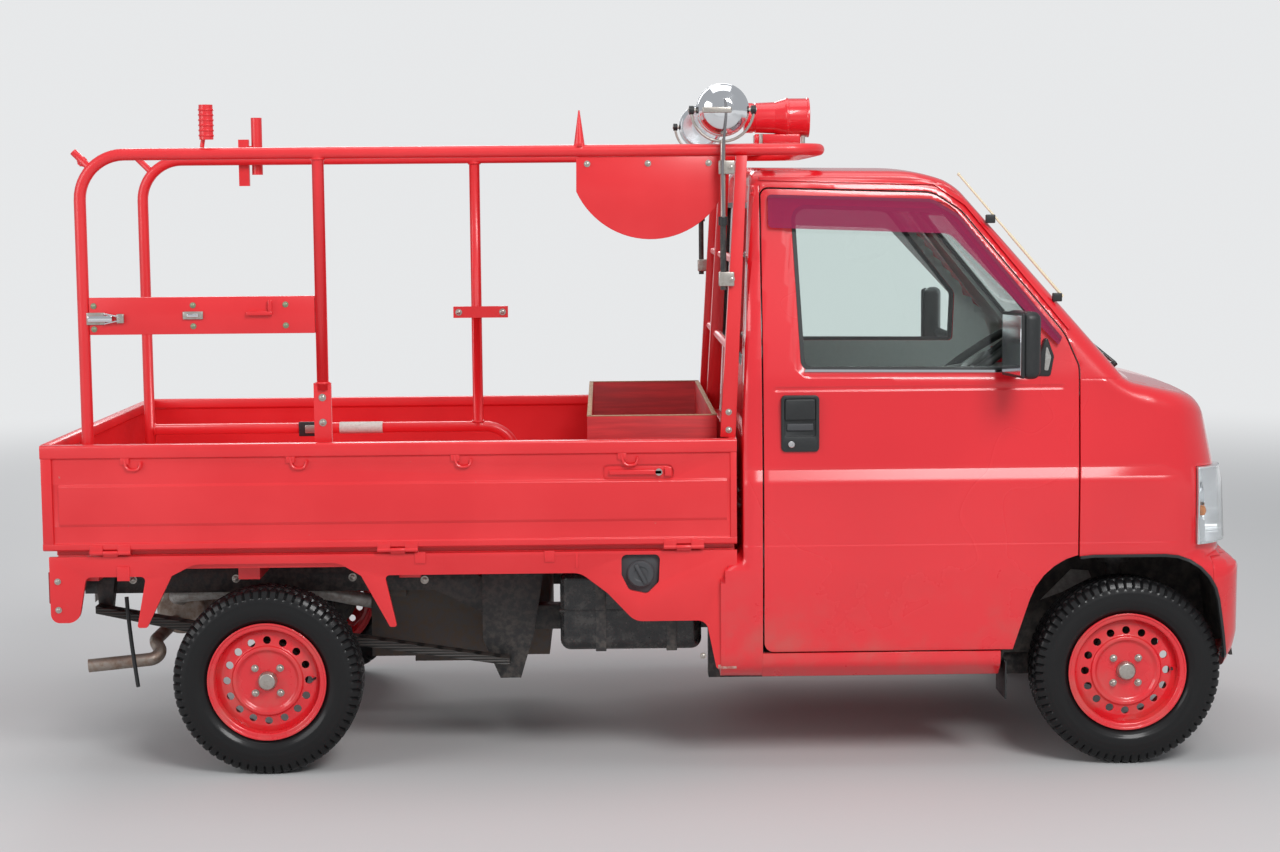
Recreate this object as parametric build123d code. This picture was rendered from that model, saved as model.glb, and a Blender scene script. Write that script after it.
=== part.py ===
from build123d import *
import math
import os

# Small open-bed truck with a short nose, painted for a volunteer fire brigade.
# X runs forward, Y to the left and Z up, from the ground below the middle of the truck.
# All sizes are in millimetres. The right side is -Y.

os.makedirs("parts", exist_ok=True)

# Running gear
wheelbase = 2420.0
front_axle_x = 1347.5
rear_axle_x = front_axle_x - wheelbase
front_overhang = 350.0
rear_overhang = 602.5
tyre_radius = 265.0
tyre_half_width = 72.5
bead_radius = 153.0
rim_lip_height = 14.0
rim_half_width = 59.0
rim_well_depth = 18.0
spindle_radius = 18.0
running_clearance = 0.1
kingpin_inset = 40.0
kingpin_radius = 9.0
hub_cap_radius = 27.0
hole_count = 16
nut_count = 4

# Whole body
half_width = 737.5
body_front_x = front_axle_x + front_overhang
wheel_y = half_width - 92.5
joint_gap = 5.0
seat_clearance = 0.3

# Cab
cab_rear_x = 262.0
cab_under_z = 262.0
roof_z = 1696.0
cab_wall = 28.0
door_wall = 55.0
cowl_z = 1086.0
roof_split_z = 1637.0
door_rear_x = 322.0
door_front_x = 1196.0
door_low_z = 340.0
bumper_top_z = 592.0
fender_y = half_width - 137.5
bumper_side_x = 1578.0
mirror_x = 1016.0
mirror_turn = 12.0
glass_thickness = 8.0
screen_radius = 4500.0
screen_bulge = 10.0
seat_y = 330.0
seat_box_top = 470.0
cushion_top = 600.0

# Load bed
bed_rear_x = rear_axle_x - rear_overhang
bed_front_x = 246.0
bed_floor_z = 650.0
bed_floor_thickness = 20.0
gate_top_z = 940.0
gate_low_z = 646.0
gate_wall = 25.0
gate_skin_y = half_width - 10.5
gate_rail_proud = 8.0
gate_rail_depth = 35.0
hinge_z = 640.0
hinge_radius = 6.0
hinge_y = half_width - hinge_radius
hinge_pin_radius = 3.0
skirt_y = half_width - 15.5
skirt_sheet = 15.0
chassis_y = 380.0
hanger_y = 432.0

# Rack of round tube
rack_tube = 16.5
rack_y = 87.5 - half_width
rack_far_y = 180.0
rack_z = 1736.0
rack_rear_x = bed_rear_x + 115
rack_post_x = rack_rear_x + 657
rack_front_x = 490.0
rack_bend = 125.0
guard_y = half_width - 77.5


def flat_face(outline, radius=0):
    """Face on the ground plane from an outline, with its corners rounded."""
    if radius == 0:
        line = Polyline(*outline, close=True)
    else:
        line = FilletPolyline(*outline, radius=radius, close=True)
    return make_face(line)


def side_prism(outline, y_low, y_high, radius=0, shrink=0):
    """Solid with an outline in X and Z, between two places in Y."""
    face = flat_face(outline, radius)
    if shrink:
        face = offset(face, amount=-shrink, kind=Kind.INTERSECTION)
    plane = Plane(origin=(0, y_high, 0), x_dir=(1, 0, 0), z_dir=(0, -1, 0))
    return extrude(plane * face, amount=y_high - y_low)


def section_prism(outline, x_low, x_high, radius=0, shrink=0):
    """Solid with an outline in Y and Z, between two places in X."""
    face = flat_face(outline, radius)
    if shrink:
        face = offset(face, amount=-shrink, kind=Kind.INTERSECTION)
    plane = Plane(origin=(x_low, 0, 0), x_dir=(0, 1, 0), z_dir=(1, 0, 0))
    return extrude(plane * face, amount=x_high - x_low)


def plan_prism(outline, z_low, z_high, radius=0, shrink=0):
    """Solid with an outline in X and Y, between two heights."""
    face = flat_face(outline, radius)
    if shrink:
        face = offset(face, amount=-shrink, kind=Kind.INTERSECTION)
    return extrude(Plane.XY.offset(z_low) * face, amount=z_high - z_low)


def block(x_low, x_high, y_low, y_high, z_low, z_high):
    """Plain box between two corners."""
    centre = ((x_low + x_high) / 2, (y_low + y_high) / 2, (z_low + z_high) / 2)
    return Pos(*centre) * Box(x_high - x_low, y_high - y_low, z_high - z_low)


def rod(start, end, radius, end_radius=None):
    """Round bar between two points, which may taper."""
    start, end = Vector(start), Vector(end)
    plane = Plane(origin=start, z_dir=end - start)
    length = (end - start).length
    if end_radius is None:
        return Part() + Solid.make_cylinder(radius, length, plane)
    return Part() + Solid.make_cone(radius, end_radius, length, plane)


def bent_tube(points, radius, bends):
    """Round bar along straight runs joined by arcs."""
    path = FilletPolyline(*points, radius=bends)
    start = Plane(origin=path @ 0, z_dir=path % 0)
    return sweep(start * Circle(radius), path=path)


def turned(outline, x, y, z, outward):
    """Ring turned about a line along Y. The outline holds (outward place, radius)."""
    points = [(0, outward * along, radius) for along, radius in outline]
    face = Face(Wire.make_polygon([Vector(*p) for p in points], close=True))
    return Pos(x, y, z) * revolve(face, Axis.Y, 360)


def mirrored(shape):
    """The same piece on the left side."""
    return mirror(shape, about=Plane.XZ)


def join(*shapes):
    """One solid from pieces that overlap or share a face."""
    total = shapes[0]
    for shape in shapes[1:]:
        total = total + shape
    return total


def write(name, *shapes):
    """Write one node, with each of its solids."""
    solids = []
    for shape in shapes:
        solids.extend(shape.solids())
    node = Compound(children=solids) if len(solids) > 1 else solids[0]
    export_step(node, f"parts/{name}.step")


# Cab outlines. Each is (x, z), (y, z) or (x, y), with a corner radius beside each point.
cab_side = [
    # x, z, corner radius
    (cab_rear_x, cab_under_z, 0),
    (cab_rear_x, 933, 0),
    (294, roof_z, 25),
    (770, roof_z - 6, 400),
    (898, 1642, 170),
    (1393, cowl_z, 60),
    (1548, 1050, 80),
    (1608, 1008, 90),
    (1652, 800, 200),
    (1662, bumper_top_z + 4, 8),
    (body_front_x, bumper_top_z - 20, 20),
    (body_front_x, 370, 60),
    (1675, cab_under_z, 0),
]
cab_section_half = [
    # y, z, corner radius
    (half_width - 47.5, cab_under_z, 0),
    (half_width - 9.5, 300, 30),
    (half_width, 560, 200),
    (half_width, 850, 300),
    (half_width - 17.5, 1100, 300),
    (half_width - 119.5, 1648, 45),
    (half_width - 237.5, roof_z - 12, 200),
    (0.0, roof_z, 0),
]
bumper_plan = [
    # x, y, corner radius
    (200, -half_width - 10, 0),
    (1530, -half_width - 10, 100),
    (1668, 97.5 - half_width, 100),
    (body_front_x, -250, 400),
]
nose_plan = [
    # x, y, corner radius
    (200, -half_width - 10, 0),
    (1490, -half_width - 10, 130),
    (1608, 82.5 - half_width, 120),
    (1652, -280, 600),
]
arch_outline = [
    (front_axle_x + dx, z)
    for dx, z in ((-344.5, 200), (-344.5, 280), (-239.5, 606), (227.5, 606), (284.5, 280), (284.5, 200))
]
arch_radii = [0, 100, 180, 160, 100, 0]
liner_outline = [
    (front_axle_x + dx, z)
    for dx, z in ((-352.5, 240), (-352.5, 280), (-255.5, 622), (252.5, 622), (300.5, 300), (300.5, 240))
]
liner_radii = [0, 100, 180, 160, 40, 0]
liner_outer_y = half_width - 77.5
liner_inner_y = half_width - 312.5
door_outline = [
    # x, z, corner radius
    (door_rear_x, door_low_z, 25),
    (door_rear_x, 1628, 20),
    (802, 1612, 80),
    (880, 1560, 60),
    (1160, 1218, 150),
    (door_front_x, 1130, 60),
    (door_front_x, door_low_z, 0),
]
window_outline = [(427, 1125), (408, 1541), (857, 1531), (1054, 1280), (1055, 1118)]
window_radii = [30, 35, 45, 30, 15]


def cab_section_solid(shrink):
    """The cab's cross section, run along its length."""
    half = cab_section_half[:-1]
    outline = [(-y, z) for y, z, corner in half] + [(0.0, roof_z)]
    outline += [(y, z) for y, z, corner in reversed(half)]
    radii = [row[2] for row in half] + [0] + [row[2] for row in reversed(half)]
    return section_prism(outline, 100, 1800, radii, shrink)


def full_plan(half, z_low, z_high, shrink):
    """Prism on a plan that is given for the right side only."""
    outline = [(x, y) for x, y, corner in half] + [(x, -y) for x, y, corner in reversed(half)]
    radii = [row[2] for row in half] + [row[2] for row in reversed(half)]
    return plan_prism(outline, z_low, z_high, radii, shrink)


def screen_cutter(shrink):
    """Everything ahead of the windscreen's curved face, down to the hood."""
    start = Vector(898, 0, 1642)
    slope = Vector(1393 - 898, 0, cowl_z - 1642).normalized()
    normal = Vector(-slope.Z, 0, slope.X)
    plane = Plane(origin=start - slope * 400 + normal * (screen_bulge - shrink), x_dir=(0, 1, 0), z_dir=slope)
    outward = 1 if plane.y_dir.dot(normal) > 0 else -1
    reach = 900
    sag = (screen_radius - math.sqrt(screen_radius ** 2 - reach ** 2)) * outward
    face = make_face(
        ThreePointArc((-reach, -sag), (0, 0), (reach, -sag))
        + Polyline((reach, -sag), (reach, 500 * outward), (-reach, 500 * outward), (-reach, -sag))
    )
    hood_line = [
        (600, 2100), (600, 1500), (1150, 1142), (1393, cowl_z), (1548, 1050), (1900, 960), (1900, 2100),
    ]
    return extrude(plane * face, amount=1400) & side_prism(hood_line, -reach, reach)


def cab_solid(shrink):
    """The cab as one closed form, at a depth under its outer skin."""
    side = side_prism([row[:2] for row in cab_side], -800, 800, [row[2] for row in cab_side], shrink)
    low = full_plan(bumper_plan, 100, bumper_top_z - shrink, shrink)
    high = full_plan(nose_plan, bumper_top_z - shrink, 1900, shrink)
    return (side & cab_section_solid(shrink) & (low + high)) - screen_cutter(shrink)


cab_outer = cab_solid(0)
cab_inner = cab_solid(cab_wall)
cab_shell = cab_outer - cab_inner
door_inner = cab_section_solid(door_wall)
arch_cut = side_prism(arch_outline, -800, 800, arch_radii)
door_cut = side_prism(
    [row[:2] for row in door_outline], -800, 800, [row[2] for row in door_outline], -joint_gap
)
screen_opening = [(-610, 1150), (-528, 1562), (528, 1562), (610, 1150)]
screen_corners = [40, 50, 50, 40]
windscreen_cut = section_prism(screen_opening, 900, 1700, screen_corners)
rear_window_cut = section_prism([(-580, 1130), (-550, 1590), (550, 1590), (580, 1130)], 200, 345, 50)
lamp_outline = [(-780, 630), (-780, 850), (-545, 842), (-520, 630)]
lamp_rear_x = 1530.0


def cab_nodes():
    """Roof and pillars, back, floor, nose, fenders and bumper, split on their real seams."""
    nose_top_z = cowl_z + 9
    upper_line = [
        (200, roof_split_z), (319, roof_split_z), (319, nose_top_z), (1800, nose_top_z), (1800, 1900),
        (200, 1900),
    ]
    upper_region = side_prism(upper_line, -800, 800)
    roof = (cab_shell & upper_region) - door_cut - windscreen_cut
    write("cab_roof", roof)

    back_region = block(200, door_rear_x - joint_gap, -800, 800, 200, roof_split_z)
    back = (cab_shell & back_region) - rear_window_cut
    write("cab_back", back)

    pan_region = block(door_rear_x - joint_gap, 984, -800, 800, 200, door_low_z - joint_gap)
    pan = cab_shell & pan_region
    seat_box = block(430, 830, -630, 630, cab_under_z + cab_wall, seat_box_top)
    toe_line = [
        (950, cab_under_z), (990, cab_under_z), (1265, 520), (1265, 1040),
        (1240, 1040), (1240, 530), (975, 292), (950, 292),
    ]
    toe_board = side_prism(toe_line, -420, 420)
    bulkhead = block(1240, 1265, -655, 655, 640, 1040)
    write("cab_floor", join(pan, seat_box, toe_board, bulkhead))

    nose_rear_x = door_front_x + joint_gap
    nose_region = block(nose_rear_x, 1800, -fender_y, fender_y, bumper_top_z, nose_top_z)
    fender_region = block(nose_rear_x, 1800, -800, -fender_y - 1, bumper_top_z, nose_top_z)
    fender_side = block(nose_rear_x, bumper_side_x - 1, -800, -fender_y - 1, 300, bumper_top_z + 1)
    lamp_cut = section_prism(lamp_outline, lamp_rear_x, 1800, 30)
    hinge_x, hinge_line_y = door_front_x + joint_gap / 2, 0.5 - half_width
    hinge_pins = join(*(
        rod((hinge_x, hinge_line_y, z), (hinge_x, hinge_line_y, z + 60), 2.2)
        + block(hinge_x, door_front_x + joint_gap + 4, hinge_line_y - 0.3, hinge_line_y + 3.5, z, z + 60)
        for z in (640, 780)
    ))
    liner_room = side_prism(liner_outline, -liner_outer_y - 1, 1 - liner_inner_y, liner_radii, -9)
    fender = (cab_shell & (fender_region + fender_side)) - arch_cut - lamp_cut - liner_room
    fender = max((fender + hinge_pins).solids(), key=lambda solid: solid.volume)
    write("fenders", fender, mirrored(fender))
    front = (cab_shell & nose_region) - lamp_cut - mirrored(lamp_cut)
    write("front_panel", front)

    bumper_region = block(bumper_side_x, 1800, -800, 800, 200, bumper_top_z - 1)
    arch_side = side_prism(arch_outline, -800, 1 - liner_outer_y, arch_radii)
    bumper = (cab_shell & bumper_region) - liner_room - mirrored(liner_room) - arch_side - mirrored(arch_side)
    intake = section_prism([(-330, 318), (-370, 408), (370, 408), (330, 318)], 1600, 1800, 18)
    bumper = bumper - intake
    plate_holes = join(*(rod((1600, y, 480), (1800, y, 480), 3.5) for y in (-105, 105)))
    write("bumper", max((bumper - plate_holes).solids(), key=lambda solid: solid.volume))

    lamp = (cab_outer - cab_solid(60)) & offset_lamp()
    write("headlamps", lamp, mirrored(lamp))


def offset_lamp():
    """The headlamp's pocket, a little smaller than the hole in the fender."""
    face = flat_face(lamp_outline, 30)
    face = offset(face, amount=-1.0, kind=Kind.INTERSECTION)
    plane = Plane(origin=(lamp_rear_x + 1, 0, 0), x_dir=(0, 1, 0), z_dir=(1, 0, 0))
    return extrude(plane * face, amount=300)


def liner_nodes():
    """Wheel arch liners behind the front fenders."""
    outer = side_prism(liner_outline, -liner_outer_y, -liner_inner_y, liner_radii, -8)
    inner = side_prism(liner_outline, -liner_outer_y - 20, -liner_inner_y - 8, liner_radii)
    below = block(900, 1700, -700, -400, 200, 268)
    liner = outer - inner - below
    write("arch_liners", liner, mirrored(liner))


def glass_nodes():
    """Windscreen and rear window, set in their openings."""
    opening = section_prism(screen_opening, 900, 1700, screen_corners, seat_clearance)
    opening = opening & side_prism(
        [(800, 1200), (1150, 1000), (1600, 1000), (1600, 1800), (880, 1800), (820, 1600)], -700, 700
    )
    screen = (cab_solid(6) - cab_solid(6 + glass_thickness)) & opening
    write("windscreen", max(screen.solids(), key=lambda solid: solid.volume))
    lean = (294 - cab_rear_x) / (roof_z - 933)
    pane = side_prism(
        [
            (cab_rear_x + 10 + lean * (z - 933) + depth, z)
            for z, depth in ((1100, 0), (1620, 0), (1620, glass_thickness), (1100, glass_thickness))
        ],
        -700, 700,
    )
    hole = section_prism(
        [(-580, 1130), (-550, 1590), (550, 1590), (580, 1130)], 200, 345, 50, seat_clearance
    )
    write("rear_window", pane & hole)


def door_nodes():
    """Doors as thick as the whole door, with the window cut, glass, mirror and visor."""
    region = side_prism([row[:2] for row in door_outline], -800, -400, [row[2] for row in door_outline])
    shell = (cab_outer - door_inner) & region
    shell = shell - side_prism(arch_outline, -800, 0, arch_radii, -joint_gap)
    window = side_prism(window_outline, -800, 0, window_radii)
    door = shell - window
    door = max(door.solids(), key=lambda solid: solid.volume)
    pane = (cab_solid(18) - cab_solid(18 + glass_thickness)) & side_prism(
        window_outline, -800, -400, window_radii, seat_clearance
    )
    handle = block(372, 472, -half_width - 4, -half_width + 8, 905, 1056) - cab_outer
    handle = max(handle.solids(), key=lambda solid: solid.volume)
    arm = rod((1080, 47.5 - half_width, 1120), (mirror_x, -half_width - 37.5, 1150), 14)
    housing = fillet(Box(60, 150, 182).edges(), 18)
    housing = Pos(mirror_x, -half_width - 92.5, 1201) * Rot(0, 0, mirror_turn) * housing
    mirror_body = (arm + housing) - cab_outer
    mirror_body = max(mirror_body.solids(), key=lambda solid: solid.volume)
    visor_line = [(340, 1612), (800, 1596), (872, 1552), (1150, 1212), (1140, 1190), (845, 1500), (345, 1520)]
    visor = (cab_solid(-14) - cab_solid(-10)) & side_prism(visor_line, -800, -400)
    clips = (cab_solid(-12) - cab_solid(0)) & join(*(
        side_prism([(x, z), (x + 14, z), (x + 14, z + 14), (x, z + 14)], -800, -400)
        for x, z in ((350, 1594), (600, 1588), (1128, 1216))
    ))
    visor = visor + clips
    for name, flip in (("right", False), ("left", True)):
        pieces = (("door", door), ("door_glass", pane), ("visor", visor))
        for node, solid in pieces:
            write(f"{node}_{name}", mirrored(solid) if flip else solid)
        fittings = (handle, mirror_body)
        write(f"door_fittings_{name}", *((mirrored(solid) if flip else solid) for solid in fittings))


def interior_nodes():
    """Seats, dashboard and steering wheel, seen through the glass."""
    seats = []
    back_low = cushion_top + seat_clearance
    back_line = [(345, back_low), (455, back_low), (395, 1190), (320, 1190)]
    for y in (-seat_y, seat_y):
        cushion = block(400, 880, y - 235, y + 235, seat_box_top + seat_clearance, cushion_top)
        cushion = fillet(cushion.edges(), 28)
        back = side_prism(back_line, y - 225, y + 225)
        back = fillet(back.edges(), 22)
        hinge_bar = block(352, 420, y - 200, y + 200, cushion_top - 40, cushion_top + 0.15)
        seats.extend((cushion + hinge_bar, back))
    write("seats", *seats)
    dash = side_prism(
        [(1240, 1045), (1060, 1040), (1005, 980), (1050, 760), (1240, 690)], -640, 640, [0, 40, 40, 30, 0]
    )
    write("dashboard", dash)
    centre = Vector(968, -seat_y, 1120)
    axis = Vector(-0.57, 0, 0.82).normalized()
    plane = Plane(origin=centre, x_dir=(0, 1, 0), z_dir=axis)
    ring = Part() + Solid.make_torus(180, 13, plane)
    spoke_ends = [
        centre + (plane.x_dir * math.cos(turn) + plane.y_dir * math.sin(turn)) * 178
        for turn in (math.radians(-20), math.radians(200), math.radians(90))
    ]
    spokes = join(*(rod(centre - axis * 12, end, 9) for end in spoke_ends))
    hub = rod(centre - axis * 30, centre + axis * 8, 45)
    column = rod(centre - axis * 130, centre - axis * 20, 24)
    wheel = (ring + spokes + hub + column) - dash
    write("steering_wheel", max(wheel.solids(), key=lambda solid: solid.volume))


def chassis_nodes():
    """Rails, cross bars, spring hangers, engine, tank, exhaust and springs."""
    behind = rear_axle_x
    rail_line = [
        (behind - 567.5, 470), (behind - 567.5, 550), (behind + 512.5, 550), (behind + 742.5, 420),
        (cab_rear_x - 42, 420), (cab_rear_x - 42, 262),
        (front_axle_x + 42.5, 262), (front_axle_x + 42.5, 200),
        (cab_rear_x - 82, 200), (cab_rear_x - 82, 350), (behind + 692.5, 350), (behind + 452.5, 470),
    ]
    rails = [side_prism(rail_line, side * chassis_y - 30, side * chassis_y + 30) for side in (-1, 1)]
    bar_places = (
        (behind - 567.5, 490), (behind - 227.5, 490), (behind + 822.5, 360), (cab_rear_x - 112, 360),
        (front_axle_x - 27.5, 206),
    )
    bars = [block(x, x + 60, 30 - chassis_y, chassis_y - 30, z, z + 50) for x, z in bar_places]
    hanger_line = [
        (behind + dx, z)
        for dx, z in ((592.5, 530), (772.5, 530), (742.5, 350), (702.5, 215), (642.5, 215), (592.5, 330))
    ]
    shackle_line = [
        (behind + dx, z) for dx, z in ((-527.5, 550), (-467.5, 550), (-482.5, 425), (-517.5, 425))
    ]
    spring_mounts = [
        side_prism(line, side * hanger_y - 22, side * hanger_y + 22)
        for line in (hanger_line, shackle_line) for side in (-1, 1)
    ]
    foot_x = cab_rear_x - 112
    feet = [block(foot_x, foot_x + 60, y - 30, y + 30, 419, 590) for y in (-chassis_y, chassis_y)]
    rear_beam = block(bed_rear_x + 13, bed_rear_x + 36, 47.5 - half_width, half_width - 47.5, 480, 590)
    write("chassis_frame", join(*rails, *bars, *spring_mounts, *feet, rear_beam))

    engine_front_x, engine_rear_x = behind + 782.5, behind + 252.5
    engine = join(
        block(engine_rear_x, engine_front_x, -290, 290, 250, 540),
        block(engine_rear_x + 120, engine_front_x - 130, -200, 260, 215, 251),
    )
    mounts = [
        block(engine_rear_x + dx, engine_rear_x + dx + 50, side * 320 - 31, side * 320 + 31, 440, 500)
        for dx in (60, 260) for side in (-1, 1)
    ]
    write("engine_block", join(engine, *mounts) - join(*rails))

    tank_outer_y = half_width - 97.5
    tank = fillet(block(-250, 150, -tank_outer_y, -416, 330, 560).edges(), 30)
    strap = [block(x, x + 30, -520, -480, 559, 590) for x in (-200, 60)]
    write("fuel_tank", join(tank, *strap))

    silencer_x = behind - 347.5
    silencer = fillet((Pos(silencer_x, 90, 365) * Rot(90, 0, 0) * Cylinder(75, 420)).edges(), 12)
    pipe_in = bent_tube(
        [(silencer_x + 40, 230, 365), (behind + 22.5, 230, 365), (behind + 122.5, 230, 410),
         (engine_rear_x - seat_clearance, 230, 410)],
        20, 60,
    )
    tail_pipe = bent_tube(
        [(silencer_x - 20, -100, 330), (silencer_x - 20, -420, 330), (silencer_x + 20, -470, 290),
         (silencer_x - 196, -500, 275)],
        19, [60, 30],
    )
    hanger_bar = block(silencer_x - 8, silencer_x + 8, 80, 100, 438, 489)
    exhaust = join(silencer, pipe_in, tail_pipe, hanger_bar)
    write("exhaust", exhaust)

    leaf_line = [
        (behind + dx, z)
        for dx, z in (
            (-517.5, 450), (-240.5, 396), (0.5, 370), (229.5, 352), (672.5, 282),
            (672.5, 262), (229.5, 326), (0.5, 338), (-240.5, 368), (-517.5, 428),
        )
    ]
    springs, pads = [], []
    for side in (-1, 1):
        spring_y = side * (hanger_y + 22 + seat_clearance + 25)
        springs.append(side_prism(leaf_line, spring_y - 25, spring_y + 25))
        pads.append(block(behind - 39.5, behind + 40.5, spring_y - 30, spring_y + 30, tyre_radius - 3, 339))
    write("leaf_springs", *springs)
    drum_y = wheel_y - 93
    tube = rod((rear_axle_x, -drum_y, tyre_radius), (rear_axle_x, drum_y, tyre_radius), 32)
    stub_y = wheel_y + 15
    stubs = rod((rear_axle_x, -stub_y, tyre_radius), (rear_axle_x, stub_y, tyre_radius), spindle_radius)
    plates = [
        rod((rear_axle_x, side * (drum_y - 6), tyre_radius), (rear_axle_x, side * drum_y, tyre_radius), 98)
        for side in (-1, 1)
    ]
    axle = join(tube, stubs, *plates, *pads) - join(*springs)
    write("rear_axle", axle)


def front_suspension_nodes():
    """Arms and struts, with the steered knuckles between them."""
    pin_y = wheel_y - kingpin_inset
    x = front_axle_x
    arm_z, bridge_z = tyre_radius - 75, tyre_radius + 57
    solids = []
    for side in (-1, 1):
        y = side * pin_y
        lower = Pos(x, y, tyre_radius - 68) * Cylinder(20, 34)
        upper = Pos(x, y, tyre_radius + 68) * Cylinder(20, 34)
        bore = Pos(x, y, tyre_radius) * Cylinder(kingpin_radius + running_clearance, 146)
        pivot_y = side * (chassis_y + 5)
        arm_end = (x, side * (pin_y - 10), arm_z - 4)
        arm = join(*(rod(arm_end, (x + dx, pivot_y, arm_z), 11) for dx in (-90, 90)))
        pivot = rod((x - 110, pivot_y, arm_z), (x + 110, pivot_y, arm_z), 16)
        bridge = block(x - 18, x + 18, min(y, side * 500), max(y, side * 500), bridge_z, bridge_z + 26)
        strut = rod((x, side * 500, bridge_z), (x, side * 500, 622 - seat_clearance), 22)
        spring = rod((x, side * 500, 550), (x, side * 500, 612), 46)
        solids.append(join(lower, upper, arm, pivot, bridge, strut, spring) - bore)
    cradle = block(x - 115, x + 40, -400, 400, 176, 200 - seat_clearance)
    write("front_suspension", join(*solids, cradle) - block(0, 1392, -410.3, 410.3, 199.7, 262.3))

    block_half = 45
    low_z, high_z = tyre_radius - block_half, tyre_radius + block_half
    knuckle = block(x - 30, x + 30, -pin_y - 18, -pin_y + 20, low_z, high_z)
    pin = rod((x, -pin_y, tyre_radius - 70), (x, -pin_y, tyre_radius + 70), kingpin_radius)
    spindle = rod((x, -pin_y - 17, tyre_radius), (x, -wheel_y - 15, tyre_radius), spindle_radius)
    steering_arm = block(x - 120, x - 25, -pin_y - 5, -pin_y + 15, tyre_radius - 30, tyre_radius - 12)
    caliper = block(x + 25, x + 95, -pin_y - 16, -pin_y + 18, tyre_radius - 35, tyre_radius + 35)
    knuckle = join(knuckle, pin, spindle, steering_arm, caliper)
    write("knuckle_right", knuckle)
    write("knuckle_left", mirrored(knuckle))


def wheel_nodes():
    """Pressed steel wheels with sixteen holes, and their tyres."""
    lip, bead, well = bead_radius + rim_lip_height, bead_radius, bead_radius - rim_well_depth
    half = rim_half_width
    barrel = [
        (-half, lip), (8 - half, lip), (8 - half, bead), (-30, bead - 0.6), (-22, well + 5), (10, well + 5),
        (18, bead - 0.6), (half - 8, bead), (half - 8, lip), (half, lip), (half, lip - 5),
        (half - 3, lip - 7),
        (half - 3, bead - 5), (22, bead - 6), (14, well), (-26, well), (-34, bead - 6), (3 - half, bead - 5),
        (3 - half, lip - 7), (-half, lip - 5),
    ]
    disc = [
        (26, bead - 4), (31, bead - 23), (36, 101), (43, 97), (43, 89), (35, 80), (33, 19.5), (28, 19.5),
        (29, 82), (37, 90), (37, 95), (30, 100), (25, bead - 23), (20, bead - 4),
    ]
    bore_radius = spindle_radius + running_clearance
    hub_rear = [
        (-87, 101), (-22, 101), (-22, 30), (33, 30), (33, 0), (18, 0), (18, bore_radius), (-60, bore_radius),
        (-60, 30), (-28, 30), (-28, 92), (-87, 92),
    ]
    hub_front = [
        (-18, 104), (-8, 104), (-8, 30), (33, 30), (33, 0), (18, 0), (18, bore_radius), (-18, bore_radius),
    ]
    cap = [(30, 0), (30, hub_cap_radius), (48, hub_cap_radius), (55, 21), (58, 0)]
    wall, rim = tyre_half_width, tyre_radius
    tyre = [
        (-50, bead + seat_clearance), (-50.5, lip + 1), (-62, lip + 11),
        (2.5 - wall, lip + 25), (-wall, lip + 41),
        (1.5 - wall, rim - 39), (6.5 - wall, rim - 21), (-58, rim - 8), (-50, rim - 2), (-20, rim),
        (20, rim), (50, rim - 2), (58, rim - 8), (wall - 6.5, rim - 21), (wall - 1.5, rim - 39),
        (wall, lip + 41), (wall - 2.5, lip + 25),
        (62, lip + 11), (50.5, lip + 1), (50, bead + seat_clearance),
    ]
    for axle, x, hub in (("front", front_axle_x, hub_front), ("rear", rear_axle_x, hub_rear)):
        for name, side in (("right", -1), ("left", 1)):
            y = side * wheel_y
            parts = [turned(outline, x, y, tyre_radius, side) for outline in (barrel, disc, hub, cap)]
            holes, nuts = [], []
            for index in range(hole_count):
                turn = 2 * math.pi * index / hole_count
                place_x, place_z = x + 115 * math.cos(turn), tyre_radius + 115 * math.sin(turn)
                holes.append(rod((place_x, y + side * 15, place_z), (place_x, y + side * 48, place_z), 11))
            for index in range(nut_count):
                turn = math.pi / 4 + 2 * math.pi * index / nut_count
                place_x, place_z = x + 50 * math.cos(turn), tyre_radius + 50 * math.sin(turn)
                nuts.append(rod((place_x, y + side * 30, place_z), (place_x, y + side * 45, place_z), 9))
            write(f"rim_{axle}_{name}", join(*parts, *nuts) - join(*holes))
            write(f"tyre_{axle}_{name}", turned(tyre, x, y, tyre_radius, side))


def hinge_row(places, length, axis_point, along):
    """Pins and knuckles of one hinge line: what stays with the bed, and what turns with the gate."""
    fixed, turning, bores = [], [], []
    for place in places:
        for low, high, group in ((-20, 20, fixed), (-56, -20.5, turning), (20.5, 56, turning)):
            start = along(place + low, axis_point)
            end = along(place + high, axis_point)
            group.append(rod(start, end, hinge_radius))
        start, end = along(place - 54, axis_point), along(place + 54, axis_point)
        fixed.append(rod(start, end, hinge_pin_radius))
        start, end = along(place - 57, axis_point), along(place + 57, axis_point)
        bores.append(rod(start, end, hinge_pin_radius + seat_clearance))
    return fixed, turning, bores


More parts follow.
